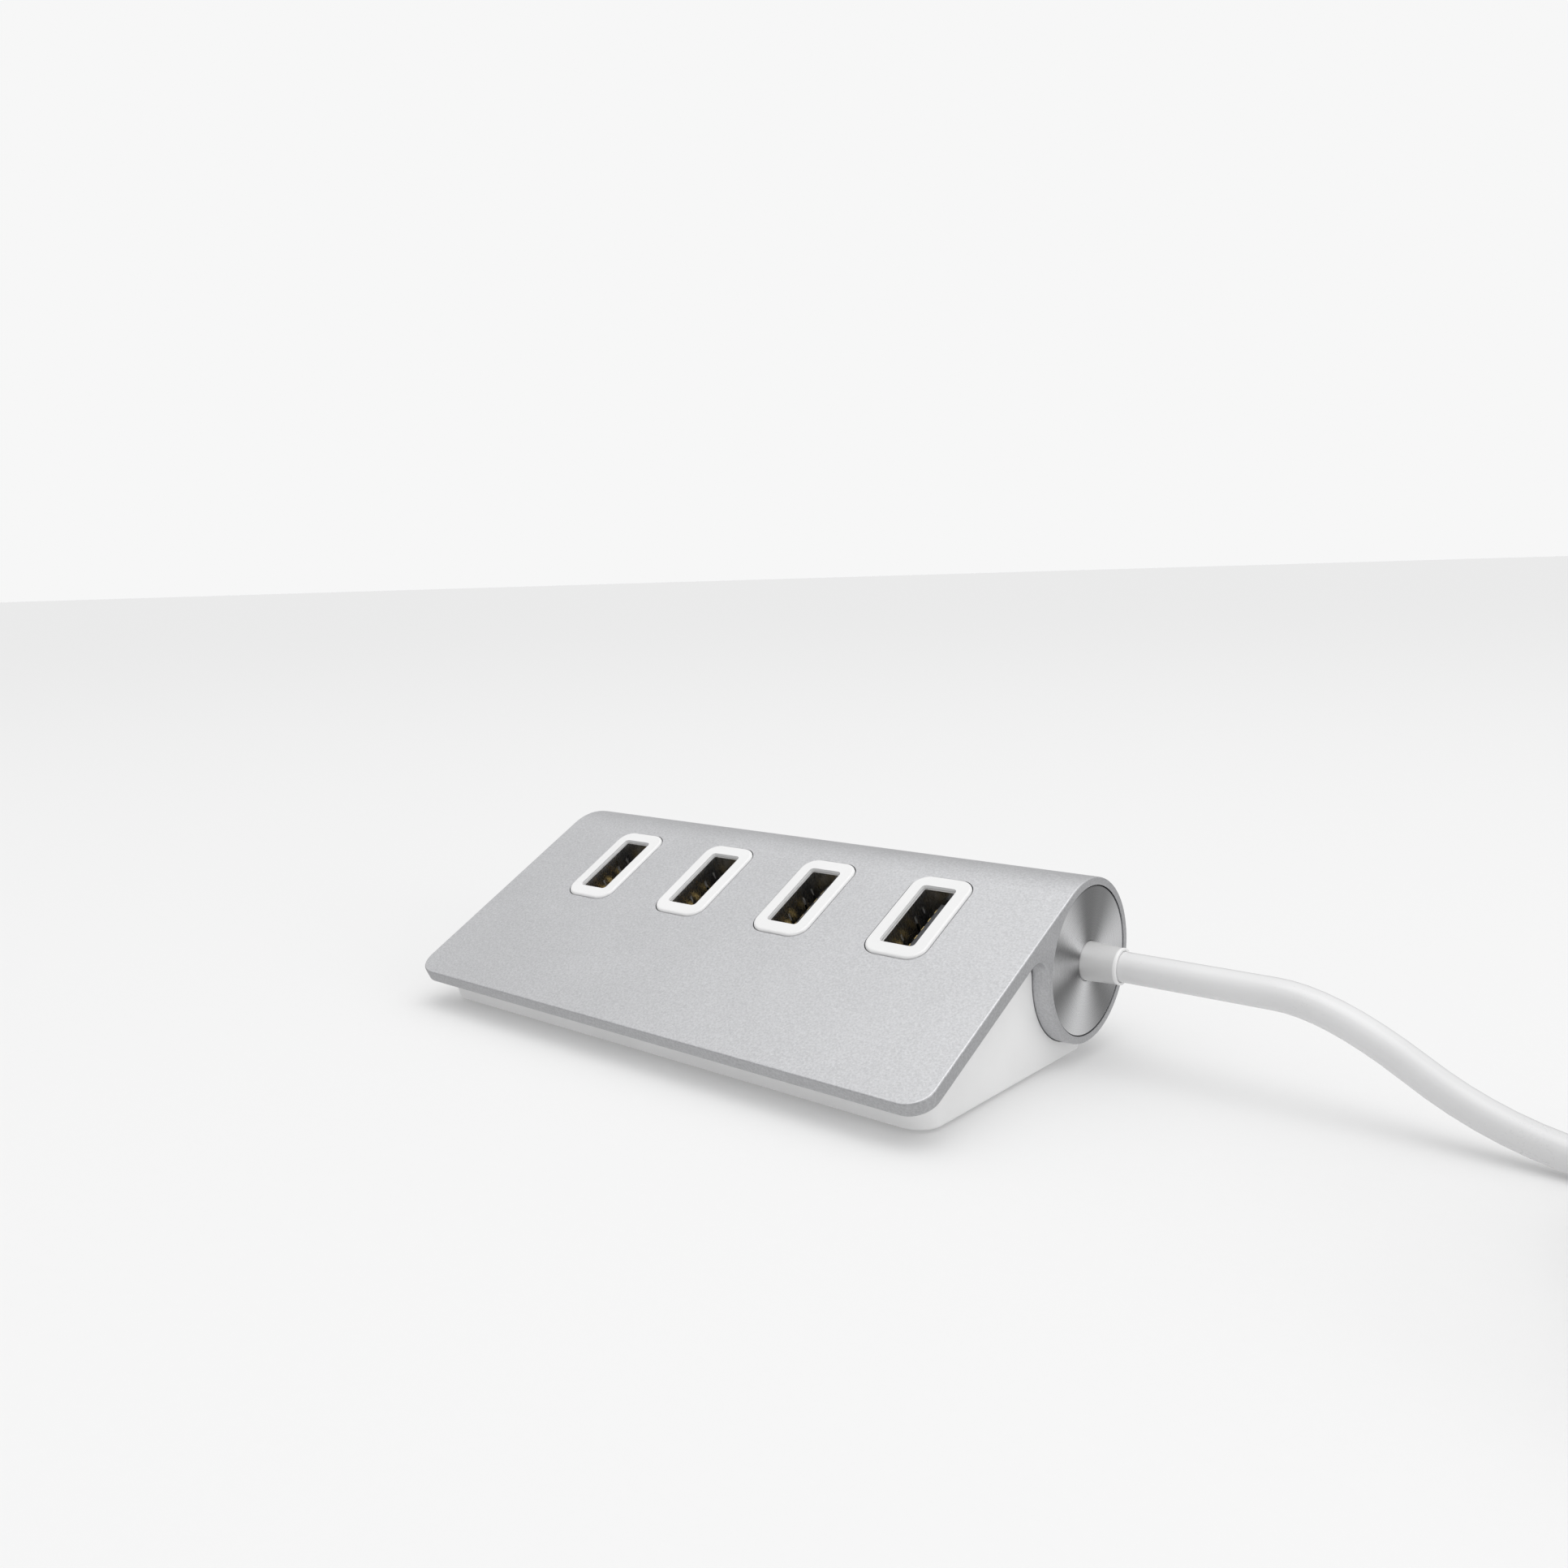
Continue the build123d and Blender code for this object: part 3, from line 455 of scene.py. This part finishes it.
# ---------------------------------------------------------------- finishes
def blasted_aluminium(colour, grain):
    """Bead-blasted, clear anodised aluminium: dimples, fine noise and soft clouds."""
    paint = Finish("blasted_aluminium")
    here = paint.place()
    dimples = paint.dimples(here, grain)
    grit = paint.noise(here, 0.7 * grain, detail=1.0)
    speckle = paint.noise(here, 2.6 * grain, detail=2.0, roughness=0.7)
    clouds = paint.noise(here, 12 * MM, detail=2.0)
    shade = 0.7 * speckle + 0.2 * grit + 0.1 * clouds
    colour_here = paint.blend(
        paint.spread(shade, 0.36, 0.64), tone(colour, 0.88), tone(colour, 1.12)
    )
    relief = paint.bump(dimples, 0.05 * grain, 0.4)
    relief = paint.bump(grit, 0.04 * grain, 0.35, relief)
    return paint.close(
        {
            "Base Color": colour_here,
            "Metallic": 1.0,
            "Roughness": paint.spread(0.6 * grit + 0.4 * clouds, 0.3, 0.7, 0.40, 0.50),
            "Normal": relief,
        }
    )


def turned_aluminium(colour):
    """Lathe-turned aluminium: fine rings about the tube's axis, and a painted highlight and painted
    shade that change by angle about the axis.
    """
    paint = Finish("turned_aluminium")
    spot = paint.place(TUBE_AXIS)
    across = paint.add("ShaderNodeSeparateXYZ", {}, {0: spot}, "Y")
    upward = paint.add("ShaderNodeSeparateXYZ", {}, {0: spot}, "Z")
    radius = (across * across + upward * upward) ** 0.5
    rings = paint.add(
        "ShaderNodeTexNoise",
        {"noise_dimensions": "1D"},
        {"W": radius, "Scale": 9000.0, "Detail": 3.0},
    )
    clock = across.math("ARCTAN2", across, upward) / (2 * pi)
    # painted highlight and painted shade: bright and dark wedges by angle about the tube's axis, in
    # place of the turned disc's reflections
    painted_sweeps = paint.add(
        "ShaderNodeValToRGB",
        {
            "stops": [
                (0.0, 0.24),
                (0.06, 0.30),
                (0.22, 0.95),
                (0.40, 0.26),
                (0.555, 0.95),
                (0.70, 0.24),
                (0.77, 0.74),
                (0.81, 0.26),
                (0.86, 0.92),
                (0.98, 0.24),
            ],
            "smoothing": "EASE",
        },
        {0: clock.math("FRACT", clock + 1.0)},
    )
    # the ring tones are lifted well above the aluminium colour so that the painted highlights come
    # out bright
    shade = paint.blend(paint.spread(rings, 0.3, 0.7), tone(colour, 1.52), tone(colour, 1.68))
    sweep_painted_colour = paint.add("ShaderNodeVectorMath", {"operation": "MULTIPLY"}, {0: shade, 1: painted_sweeps})
    return paint.close(
        {
            "Base Color": sweep_painted_colour,
            "Metallic": 1.0,
            "Roughness": paint.spread(rings, 0.3, 0.7, 0.24, 0.34),
            "Normal": paint.bump(rings, 0.004 * MM, 0.4),
        }
    )


def moulded_plastic(name, colour, roughness, grain, texture, coat=0.0, highlight_from=None):
    """Moulded plastic: a faint flow in the colour, and the mould's own texture.

    Further along X than the given place, the colour is painted paler: a painted highlight on the
    collar's rim.
    """
    paint = Finish(name)
    here = paint.place()
    flow = paint.noise(here, 14 * MM, detail=2.0)
    skin = paint.noise(here, grain, detail=3.0)
    swell = paint.noise(here, 2.5 * MM, detail=1.0)
    relief = paint.bump(skin, texture, 0.6)
    shade = paint.blend(
        paint.spread(flow, 0.35, 0.65), tone(colour, 0.975), tone(colour, 1.015)
    )
    # painted highlight on the collar's rim: the colour is painted paler from the given place along X
    if highlight_from is not None:
        along = paint.add("ShaderNodeSeparateXYZ", {}, {0: here}, "X")
        polished = paint.spread(along, highlight_from - 0.05 * MM, highlight_from + 0.05 * MM)
        shade = paint.blend(polished, shade, tone(colour, 1.28))
    return paint.close(
        {
            "Base Color": shade,
            "Roughness": paint.spread(
                0.6 * skin + 0.4 * flow, 0.3, 0.7, roughness - 0.04, roughness + 0.04
            ),
            "Coat Weight": coat,
            "Coat Roughness": 0.08,
            "Normal": paint.bump(swell, 0.002 * MM, 0.5, relief),
        }
    )


def plated_steel(name, colour, roughness, axis_turn):
    """Plated sheet: fine drawing lines along the sheet, and a trace of handling."""
    paint = Finish(name)
    here = paint.place(turn=axis_turn, stretch=(1, 1, 0.06))
    lines = paint.noise(here, 0.05 * MM, detail=3.0)
    handling = paint.noise(paint.place(), 5 * MM, detail=2.0)
    wear = 0.75 * lines + 0.25 * handling
    return paint.close(
        {
            "Base Color": paint.blend(
                paint.spread(wear, 0.35, 0.65), tone(colour, 0.95), tone(colour, 1.03)
            ),
            "Metallic": 1.0,
            "Roughness": paint.spread(wear, 0.3, 0.7, roughness - 0.03, roughness + 0.04),
            "Normal": paint.bump(lines, 0.003 * MM, 0.5),
        }
    )


def rubber(colour):
    """Soft matt rubber with a dusty grain."""
    paint = Finish("foot_rubber")
    here = paint.place()
    grain = paint.noise(here, 0.25 * MM, detail=4.0)
    dust = paint.noise(here, 2 * MM, detail=3.0)
    return paint.close(
        {
            "Base Color": paint.blend(
                paint.spread(0.4 * grain + 0.6 * dust, 0.4, 0.7), colour, tone(colour, 1.7)
            ),
            "Roughness": paint.spread(grain, 0.3, 0.7, 0.72, 0.86),
            "Normal": paint.bump(grain, 0.03 * MM, 0.6),
        }
    )


def circuit_laminate():
    """Green solder mask over copper: tracks show as a lighter, slightly raised net."""
    paint = Finish("board_laminate")
    here = paint.place(turn=(SLOPE_ANGLE, 0, 0))
    tracks = paint.add(
        "ShaderNodeTexBrick",
        {"offset": 0.37, "squash": 0.6, "squash_frequency": 3},
        {
            "Vector": here,
            "Color1": (0, 0, 0, 1),
            "Color2": (0, 0, 0, 1),
            "Mortar": (1, 1, 1, 1),
            "Scale": 400.0,
            "Mortar Size": 0.09,
            "Mortar Smooth": 0.2,
            "Brick Width": 1.7,
            "Row Height": 0.36,
        },
        "Fac",
    )
    weave = paint.noise(here, 0.6 * MM, detail=2.0)
    mask = paint.blend(paint.spread(weave, 0.35, 0.65), (0.012, 0.10, 0.045), (0.018, 0.13, 0.06))
    return paint.close(
        {
            "Base Color": paint.blend(tracks, mask, (0.03, 0.22, 0.09)),
            "Roughness": paint.spread(weave, 0.3, 0.7, 0.28, 0.38),
            "Coat Weight": 0.3,
            "Normal": paint.bump(tracks, 0.02 * MM, 0.7),
        }
    )


# ---------------------------------------------------------------- operators
class HUB_OT_aluminium(bpy.types.Operator):
    """Finish the extruded top and turn the two end caps"""

    bl_idname = "usb_hub.aluminium"
    bl_label = "Aluminium top and end caps"

    def execute(self, context):
        look = context.scene.hub_finish
        dress(blasted_aluminium(look.aluminium_colour, look.blast_grain), "top_extrusion")
        turned_finish = turned_aluminium(look.aluminium_colour)
        lead = context.scene.hub_lead
        for name, node, side, hole in (
            ("left_cap_disc", "left_end_cap", -1, None),
            ("right_cap_disc", "right_end_cap", 1, 0.5 * lead.diameter + CAP_HOLE_MARGIN),
        ):
            piece = self.cap(name, node, side, hole, look, turned_finish)
            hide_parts(node)
        return {"FINISHED"}

    def cap(self, name, node, side, hole, look, material):
        """One disc: its plain seat and spigot, and an outer face of shallow grooves."""
        low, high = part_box(node)
        outer = (high.z - low.z) / 2
        face = high.x if side > 0 else low.x
        back = face - side * 2.0 * MM
        end = low.x if side > 0 else high.x
        spigot_outer = 10.15 * MM
        spigot_inner = 8.70 * MM
        lip = 0.12 * MM
        inner = hole if hole else 0.0
        profile = [(back, inner), (back, spigot_inner), (end, spigot_inner), (end, spigot_outer)]
        profile += [(back, spigot_outer), (back, outer), (face - side * lip, outer)]
        profile += [(face - side * 0.3 * lip, outer - 0.3 * lip), (face, outer - lip)]
        grooved_from = outer - 3 * lip
        grooved_to = inner + 0.35 * MM
        tool = random.Random(11 if side > 0 else 12)
        count = int((grooved_from - grooved_to) / look.groove_pitch)
        for ring in range(count):
            depth = look.groove_depth * tool.uniform(0.8, 1.0)
            radius = grooved_from - ring * look.groove_pitch
            for quarter, share in enumerate((0.0, 0.5, 1.0, 0.5)):
                profile.append(
                    (face - side * depth * share, radius - quarter * look.groove_pitch / 4)
                )
        if hole:
            profile += [(face, inner + lip), (face - side * 0.5 * lip, inner)]
        else:
            profile.append((face, inner))
        mesh = turned(profile, 168)
        return keep_mesh(name, mesh, material)


class HUB_OT_white_plastics(bpy.types.Operator):
    """Finish the inner frame with its bezels, the tray, and what holds them"""

    bl_idname = "usb_hub.white_plastics"
    bl_label = "Bezels, tray and feet"

    def execute(self, context):
        look = context.scene.hub_finish
        dress(
            moulded_plastic(
                "polished_white", look.bezel_colour, 0.20, 0.5 * MM, 0.002 * MM, coat=0.35
            ),
            "port_frame",
        )
        dress(
            moulded_plastic("satin_white", look.tray_colour, 0.36, 0.12 * MM, 0.006 * MM, coat=0.1),
            "base_shell",
        )
        dress(
            moulded_plastic("adhesive_tape", (0.04, 0.04, 0.042), 0.6, 0.2 * MM, 0.02 * MM),
            "frame_adhesive",
        )
        dress(
            rubber((0.045, 0.045, 0.048)),
            "foot_front_left",
            "foot_front_right",
            "foot_rear_left",
            "foot_rear_right",
        )
        return {"FINISHED"}


class HUB_OT_ports(bpy.types.Operator):
    """Finish the four receptacles: shells, tongues and contacts"""

    bl_idname = "usb_hub.ports"
    bl_label = "USB ports"

    def execute(self, context):
        look = context.scene.hub_finish
        shell = plated_steel("nickel_shell", (0.74, 0.74, 0.735), 0.26, (SLOPE_ANGLE, 0, 0))
        dress(shell, *port_nodes("shell"))
        tongue = moulded_plastic("tongue_plastic", look.tongue_colour, 0.42, 0.1 * MM, 0.01 * MM)
        dress(tongue, *port_nodes("insulator"))
        gold = plated_steel("contact_gold", (0.90, 0.66, 0.26), 0.24, (SLOPE_ANGLE, 0, 0))
        dress(gold, *port_nodes("springs"), *port_nodes("terminals"))
        return {"FINISHED"}


class HUB_OT_inside(bpy.types.Operator):
    """Finish the circuit board, what is on it, the wires and the screws"""

    bl_idname = "usb_hub.inside"
    bl_label = "Board and inside"

    def execute(self, context):
        dress(circuit_laminate(), "circuit_board")
        epoxy = moulded_plastic("chip_epoxy", (0.028, 0.028, 0.03), 0.5, 0.08 * MM, 0.012 * MM)
        dress(epoxy, "hub_controller_chip", "voltage_regulator")
        dress(plated_steel("crystal_can", (0.72, 0.72, 0.71), 0.22, (0, 0, 0)), "clock_crystal")
        ceramic = moulded_plastic("ceramic", (0.36, 0.23, 0.13), 0.45, 0.15 * MM, 0.01 * MM)
        dress(ceramic, "capacitors")
        zinc = plated_steel("zinc_screws", (0.56, 0.57, 0.60), 0.34, (0, 0, 0))
        dress(zinc, "case_screws", "board_screws")
        insulation = moulded_plastic("wire_insulation", (0.5, 0.05, 0.04), 0.4, 0.2 * MM, 0.004 * MM)
        dress(insulation, "lead_wires")
        return {"FINISHED"}


class HUB_OT_lead(bpy.types.Operator):
    """Lay the lead, wind its spare length into a coil, and fit its collar and plug"""

    bl_idname = "usb_hub.lead"
    bl_label = "Lead, collar and plug"

    def execute(self, context):
        look = context.scene.hub_finish
        lead = context.scene.hub_lead
        jacket = moulded_plastic("jacket", lead.jacket_colour, 0.30, 0.4 * MM, 0.004 * MM, coat=0.7)
        white = moulded_plastic("plug_white", (0.72, 0.72, 0.72), 0.32, 0.3 * MM, 0.003 * MM, 0.2)
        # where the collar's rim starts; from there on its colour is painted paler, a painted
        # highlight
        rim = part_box("lead_collar")[1].x - 0.45 * MM
        rim_highlighted_collar = moulded_plastic(
            "collar_white", (0.68, 0.68, 0.68), 0.30, 0.3 * MM, 0.003 * MM, 0.2, highlight_from=rim
        )
        dress(jacket, "lead_jacket_end")
        collar = self.collar(lead, rim_highlighted_collar)
        cord = self.cord(lead, jacket)
        body = self.plug_body(white)
        dress(plated_steel("plug_steel", (0.74, 0.735, 0.72), 0.2, (pi / 2, 0, 0)), "plug_shell")
        insulator = moulded_plastic("plug_insulator", (0.78, 0.78, 0.78), 0.4, 0.1 * MM, 0.006 * MM)
        dress(insulator, "plug_insulator")
        dress(plated_steel("plug_gold", (0.90, 0.66, 0.26), 0.2, (pi / 2, 0, 0)), "plug_contacts")
        return {"FINISHED"}

    def collar(self, lead, material):
        """The moulded collar: flange behind the cap, slight taper and a rounded rim."""
        low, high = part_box("lead_collar")
        bore = 0.5 * lead.diameter + 0.02 * MM
        flange = (high.z - low.z) / 2
        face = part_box("right_end_cap")[1].x
        behind = face - 2.05 * MM
        root = 2.9 * MM
        rim = 2.68 * MM
        soft = 0.25 * MM
        profile = [(low.x, bore), (low.x, flange), (behind, flange), (behind, root)]
        profile += [(face, root), (high.x - 2.2 * soft, rim - 0.02 * MM)]
        profile += [(high.x - 1.6 * soft, rim), (high.x - 0.6 * soft, rim)]
        profile += [(high.x - 0.18 * soft, rim - 0.18 * soft), (high.x, rim - 0.6 * soft)]
        profile += [(high.x, bore + 0.4 * soft), (high.x - 0.5 * soft, bore)]
        piece = keep_mesh("collar", turned(profile, 72), material)
        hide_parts("lead_collar")
        return piece

    def plug_body(self, material):
        """The plug's overmould: ribbed neck, shoulder, grip grooves and the shell's seat."""
        low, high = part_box("plug_overmould")
        shell_low, shell_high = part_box("plug_shell")
        seat_wide = shell_high.x - shell_low.x + SHELL_SEAT_GAP
        seat_tall = shell_high.z - shell_low.z + SHELL_SEAT_GAP
        size = high - low
        rings = self.neck_rings()
        rings += self.grip_rings(size.x, size.z)
        rings += self.seat_rings(size.x, size.z, size.y, seat_wide, seat_tall)
        middle = (low + high) / 2
        mesh = bmesh.new()
        before = None
        for along, width, height, corner in rings:
            outline = [
                mesh.verts.new((middle.x + x, low.y + along, middle.z + z))
                for x, z in rounded_outline(width, height, corner)
            ]
            if before is None:
                mesh.faces.new(outline)
            else:
                for here, ahead in zip(range(len(outline)), [*range(1, len(outline)), 0]):
                    mesh.faces.new((before[here], before[ahead], outline[ahead], outline[here]))
            before = outline
        mesh.faces.new(before)
        piece = keep_mesh("plug_body", mesh, material)
        piece.modifiers.new("weighted_normals", "WEIGHTED_NORMAL").keep_sharp = True
        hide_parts("plug_overmould")
        return piece

    def neck_rings(self):
        """Three ribs that thicken towards the plug; each ring is along, width, height, corner."""
        rings = []
        for start, thick in ((0.0, 5.7), (1.65, 6.0), (3.3, 6.3)):
            for along, step in ((0.0, 0.5), (0.2, 0.0), (1.1, 0.0), (1.3, 0.9), (1.55, 0.9)):
                girth = (thick - step) * MM
                rings.append(((start + along) * MM, girth, girth, girth / 2))
        rings.append((5.0 * MM, 7.2 * MM, 6.4 * MM, 3.1 * MM))
        return rings

    def grip_rings(self, wide, tall):
        """The shoulder, then four grooves in the plug's narrow sides."""
        rings = []
        for along, narrower, lower, corner in (
            (5.35, 4.4, 0.9, 2.6),
            (5.75, 2.2, 0.4, 2.2),
            (6.3, 0.8, 0.12, 1.8),
            (7.0, 0.15, 0.02, 1.6),
            (7.6, 0.0, 0.0, 1.6),
        ):
            rings.append((along * MM, wide - narrower * MM, tall - lower * MM, corner * MM))
        for groove in range(4):
            start = (8.4 + 1.4 * groove) * MM
            for along, narrower in ((0.0, 0.0), (0.15, 0.7), (0.55, 0.7), (0.7, 0.0)):
                rings.append((start + along * MM, wide - narrower * MM, tall, 1.6 * MM))
        return rings

    def seat_rings(self, wide, tall, length, seat_wide, seat_tall):
        """The softened front edge and the pocket that the metal shell sits in."""
        rings = []
        for short, less in ((0.7, 0.0), (0.35, 0.12), (0.12, 0.4), (0.0, 0.9)):
            rings.append((length - short * MM, wide - less * MM, tall - less * MM, 1.6 * MM))
        rings.append((length, seat_wide, seat_tall, 0.55 * MM))
        rings.append((length - 5.9 * MM, seat_wide, seat_tall, 0.55 * MM))
        return rings

    def cord(self, lead, material):
        """The lead's own line: out of the collar, down to the desk, round the coil, to the plug."""
        curve = bpy.data.curves.new("lead_cord", "CURVE")
        curve.dimensions = "3D"
        points = [point * MM for point in lead_points(lead.outer_turn / MM, lead.inner_turn / MM)]
        spline = curve.splines.new("NURBS")
        spline.points.add(len(points) - 1)
        for place, point in zip(spline.points, points):
            place.co = (*point, 1.0)
        spline.order_u = 3
        spline.use_endpoint_u = True
        spline.resolution_u = 8
        curve.resolution_u = 8
        curve.bevel_depth = lead.diameter / 2
        curve.bevel_resolution = 10
        curve.use_fill_caps = True
        curve.materials.append(material)
        piece = bpy.data.objects.new("lead_cord", curve)
        bpy.context.scene.collection.objects.link(piece)
        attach(piece, HUB_BODY)
        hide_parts("lead", "lead_coil", "lead_tail")
        return piece


def lead_points(outer, inner):
    """Control points of the lead in millimetres, from its collar to its plug."""
    start_x, level_y, level_z = COLLAR_END
    points = [Vector((x, level_y, level_z)) for x in (start_x, 70, 84)]
    points += [Vector((105, 15.2, 2.25)), Vector((129, 13.2, 2.25))]
    centre = Vector(COIL_CENTRE)
    per_turn = 16
    # the control points of a smooth circle stand a little outside it
    outside = 4 / (3 + cos(2 * pi / per_turn))
    low, high = 2.25, 6.65
    for step in range(52):
        radius = outer + (inner - outer) * (share(step, 13, 16) - share(step, 39, 42))
        height = low + (high - low) * share(step, 26, 29)
        angle = radians(90) - 2 * pi * step / per_turn
        place = Vector((cos(angle), sin(angle), 0)) * radius * outside
        points.append(centre + place + Vector((0, 0, height)))
    last_centre = Vector((153.2, -23.1, 0))
    last_step = radians(180 / 7)
    last_radius = 24 / cos(last_step / 2)
    for step, height in enumerate((6.65, 6.9, 8.0, 9.4, 10.8, 12.0, 12.7, 12.85)):
        angle = (0.5 - step) * last_step
        place = Vector((cos(angle), sin(angle), 0)) * last_radius
        points.append(last_centre + place + Vector((0, 0, height)))
    points.append(Vector((129.2, -18.18, 12.85)))
    return points


def share(step, start, end):
    """0 up to start, 1 from end on, and evenly between."""
    return min(1.0, max(0.0, (step - start) / (end - start)))


class HUB_OT_stage(bpy.types.Operator):
    """Build the pale floor, the soft studio light and the camera"""

    bl_idname = "usb_hub.stage"
    bl_label = "Stage, lights and camera"

    def execute(self, context):
        stage = context.scene.hub_stage
        self.camera(context.scene, stage)
        self.floor(context.scene, stage)
        self.room(context.scene, stage)
        overhead = (0.25, -0.15, 0.9)
        beside = (1.0, -0.05, 0.22)
        self.softbox(context.scene, "top_softbox", overhead, 0.9, stage.top_light)
        self.softbox(context.scene, "side_softbox", beside, 0.6, stage.side_light)
        context.scene.view_settings.view_transform = "Standard"
        return {"FINISHED"}

    def camera(self, scene, stage):
        """The picture's camera, from its yaw, pitch and roll."""
        data = bpy.data.cameras.new("camera")
        data.lens = stage.camera_lens
        data.shift_x, data.shift_y = stage.camera_shift
        data.clip_start = 0.005
        data.clip_end = 100
        yaw, pitch, roll = stage.camera_yaw, stage.camera_pitch, stage.camera_roll
        ahead = Vector((-sin(yaw) * cos(pitch), cos(yaw) * cos(pitch), -sin(pitch)))
        level = Vector((cos(yaw), sin(yaw), 0))
        above = level.cross(ahead)
        right = cos(roll) * level + sin(roll) * above
        up = cos(roll) * above - sin(roll) * level
        turn = Matrix((right, up, -ahead)).transposed().to_4x4()
        camera = bpy.data.objects.new("camera", data)
        scene.collection.objects.link(camera)
        camera.matrix_world = Matrix.Translation(stage.camera_place) @ turn
        scene.camera = camera

    def floor(self, scene, stage):
        """A pale paper floor, wide enough to reach the backdrop."""
        mesh = bmesh.new()
        bmesh.ops.create_circle(mesh, cap_ends=True, segments=96, radius=40.0)
        data = bpy.data.meshes.new("floor")
        mesh.to_mesh(data)
        mesh.free()
        paint = Finish("studio_paper")
        fibres = paint.noise(paint.place(), 1.5 * MM, detail=2.0)
        colour = tuple(stage.floor_colour)
        data.materials.append(
            paint.close(
                {
                    "Base Color": paint.blend(fibres, tone(colour, 0.995), tone(colour, 1.005)),
                    "Roughness": 0.9,
                    "Specular IOR Level": 0.0,
                    "Emission Color": (1, 1, 1, 1),
                    "Emission Strength": stage.floor_glow,
                }
            )
        )
        floor = bpy.data.objects.new("floor", data)
        scene.collection.objects.link(floor)
        floor.visible_glossy = False

    def room(self, scene, stage):
        """Soft light from all round: bright overhead, dimmer towards the horizon."""
        world = bpy.data.worlds.new("studio")
        scene.world = world
        world.use_nodes = True
        paint = Paint(world.node_tree)
        looking = paint.add("ShaderNodeTexCoord", output="Generated")
        height = paint.add("ShaderNodeSeparateXYZ", {}, {0: looking}, "Z")
        light = paint.add(
            "ShaderNodeValToRGB",
            {
                "stops": [
                    (0.0, 0.66),
                    (0.3, 0.62),
                    (0.46, 0.54),
                    (0.56, 0.46),
                    (0.68, 0.58),
                    (0.82, 0.86),
                    (0.92, 1.00),
                    (0.96, 1.40),
                    (1.0, 1.80),
                ]
            },
            {0: 0.5 * height + 0.5},
        )
        around = paint.add("ShaderNodeBackground", {}, {"Color": light, "Strength": 1.0})
        plain = paint.add(
            "ShaderNodeBackground", {}, {"Color": (1, 1, 1, 1), "Strength": stage.backdrop}
        )
        seen = paint.add("ShaderNodeLightPath", output="Is Camera Ray")
        both = paint.add("ShaderNodeMixShader", {}, {0: seen, 1: around, 2: plain})
        paint.add("ShaderNodeOutputWorld", {}, {"Surface": both})

    def softbox(self, scene, name, place, size, power):
        """A round softbox aimed at the middle of the hub."""
        target = Vector((0.01, 0, 0.015))
        data = bpy.data.lights.new(name, "AREA")
        data.shape = "DISK"
        data.size = size
        data.energy = power
        light = bpy.data.objects.new(name, data)
        scene.collection.objects.link(light)
        light.location = place
        light.rotation_euler = (target - Vector(place)).to_track_quat("-Z", "Y").to_euler()


class HUB_PT_panel(bpy.types.Panel):
    """Lists the hub's settings and the operators that build it"""

    bl_idname = "HUB_PT_panel"
    bl_label = "Desktop USB hub"
    bl_space_type = "VIEW_3D"
    bl_region_type = "UI"
    bl_category = "USB hub"

    def draw(self, context):
        for group in (context.scene.hub_finish, context.scene.hub_lead, context.scene.hub_stage):
            box = self.layout.box()
            for key in group.__annotations__:
                box.prop(group, key)
        for step in STEPS:
            self.layout.operator(step.bl_idname)


STEPS = (
    HUB_OT_stage,
    HUB_OT_lead,
    HUB_OT_aluminium,
    HUB_OT_white_plastics,
    HUB_OT_ports,
    HUB_OT_inside,
)
SETTINGS = {
    "hub_finish": HubFinishSettings,
    "hub_lead": HubLeadSettings,
    "hub_stage": HubStageSettings,
}


def register():
    for group in (*SETTINGS.values(), *STEPS, HUB_PT_panel):
        bpy.utils.register_class(group)
    for key, group in SETTINGS.items():
        setattr(bpy.types.Scene, key, bpy.props.PointerProperty(type=group))


def unregister():
    for key in SETTINGS:
        delattr(bpy.types.Scene, key)
    for group in (HUB_PT_panel, *STEPS, *SETTINGS.values()):
        bpy.utils.unregister_class(group)


def main():
    register()
    bpy.ops.usb_hub.stage()
    bpy.ops.usb_hub.lead()
    bpy.ops.usb_hub.aluminium()
    bpy.ops.usb_hub.white_plastics()
    bpy.ops.usb_hub.ports()
    bpy.ops.usb_hub.inside()


if __name__ == "__main__":
    main()
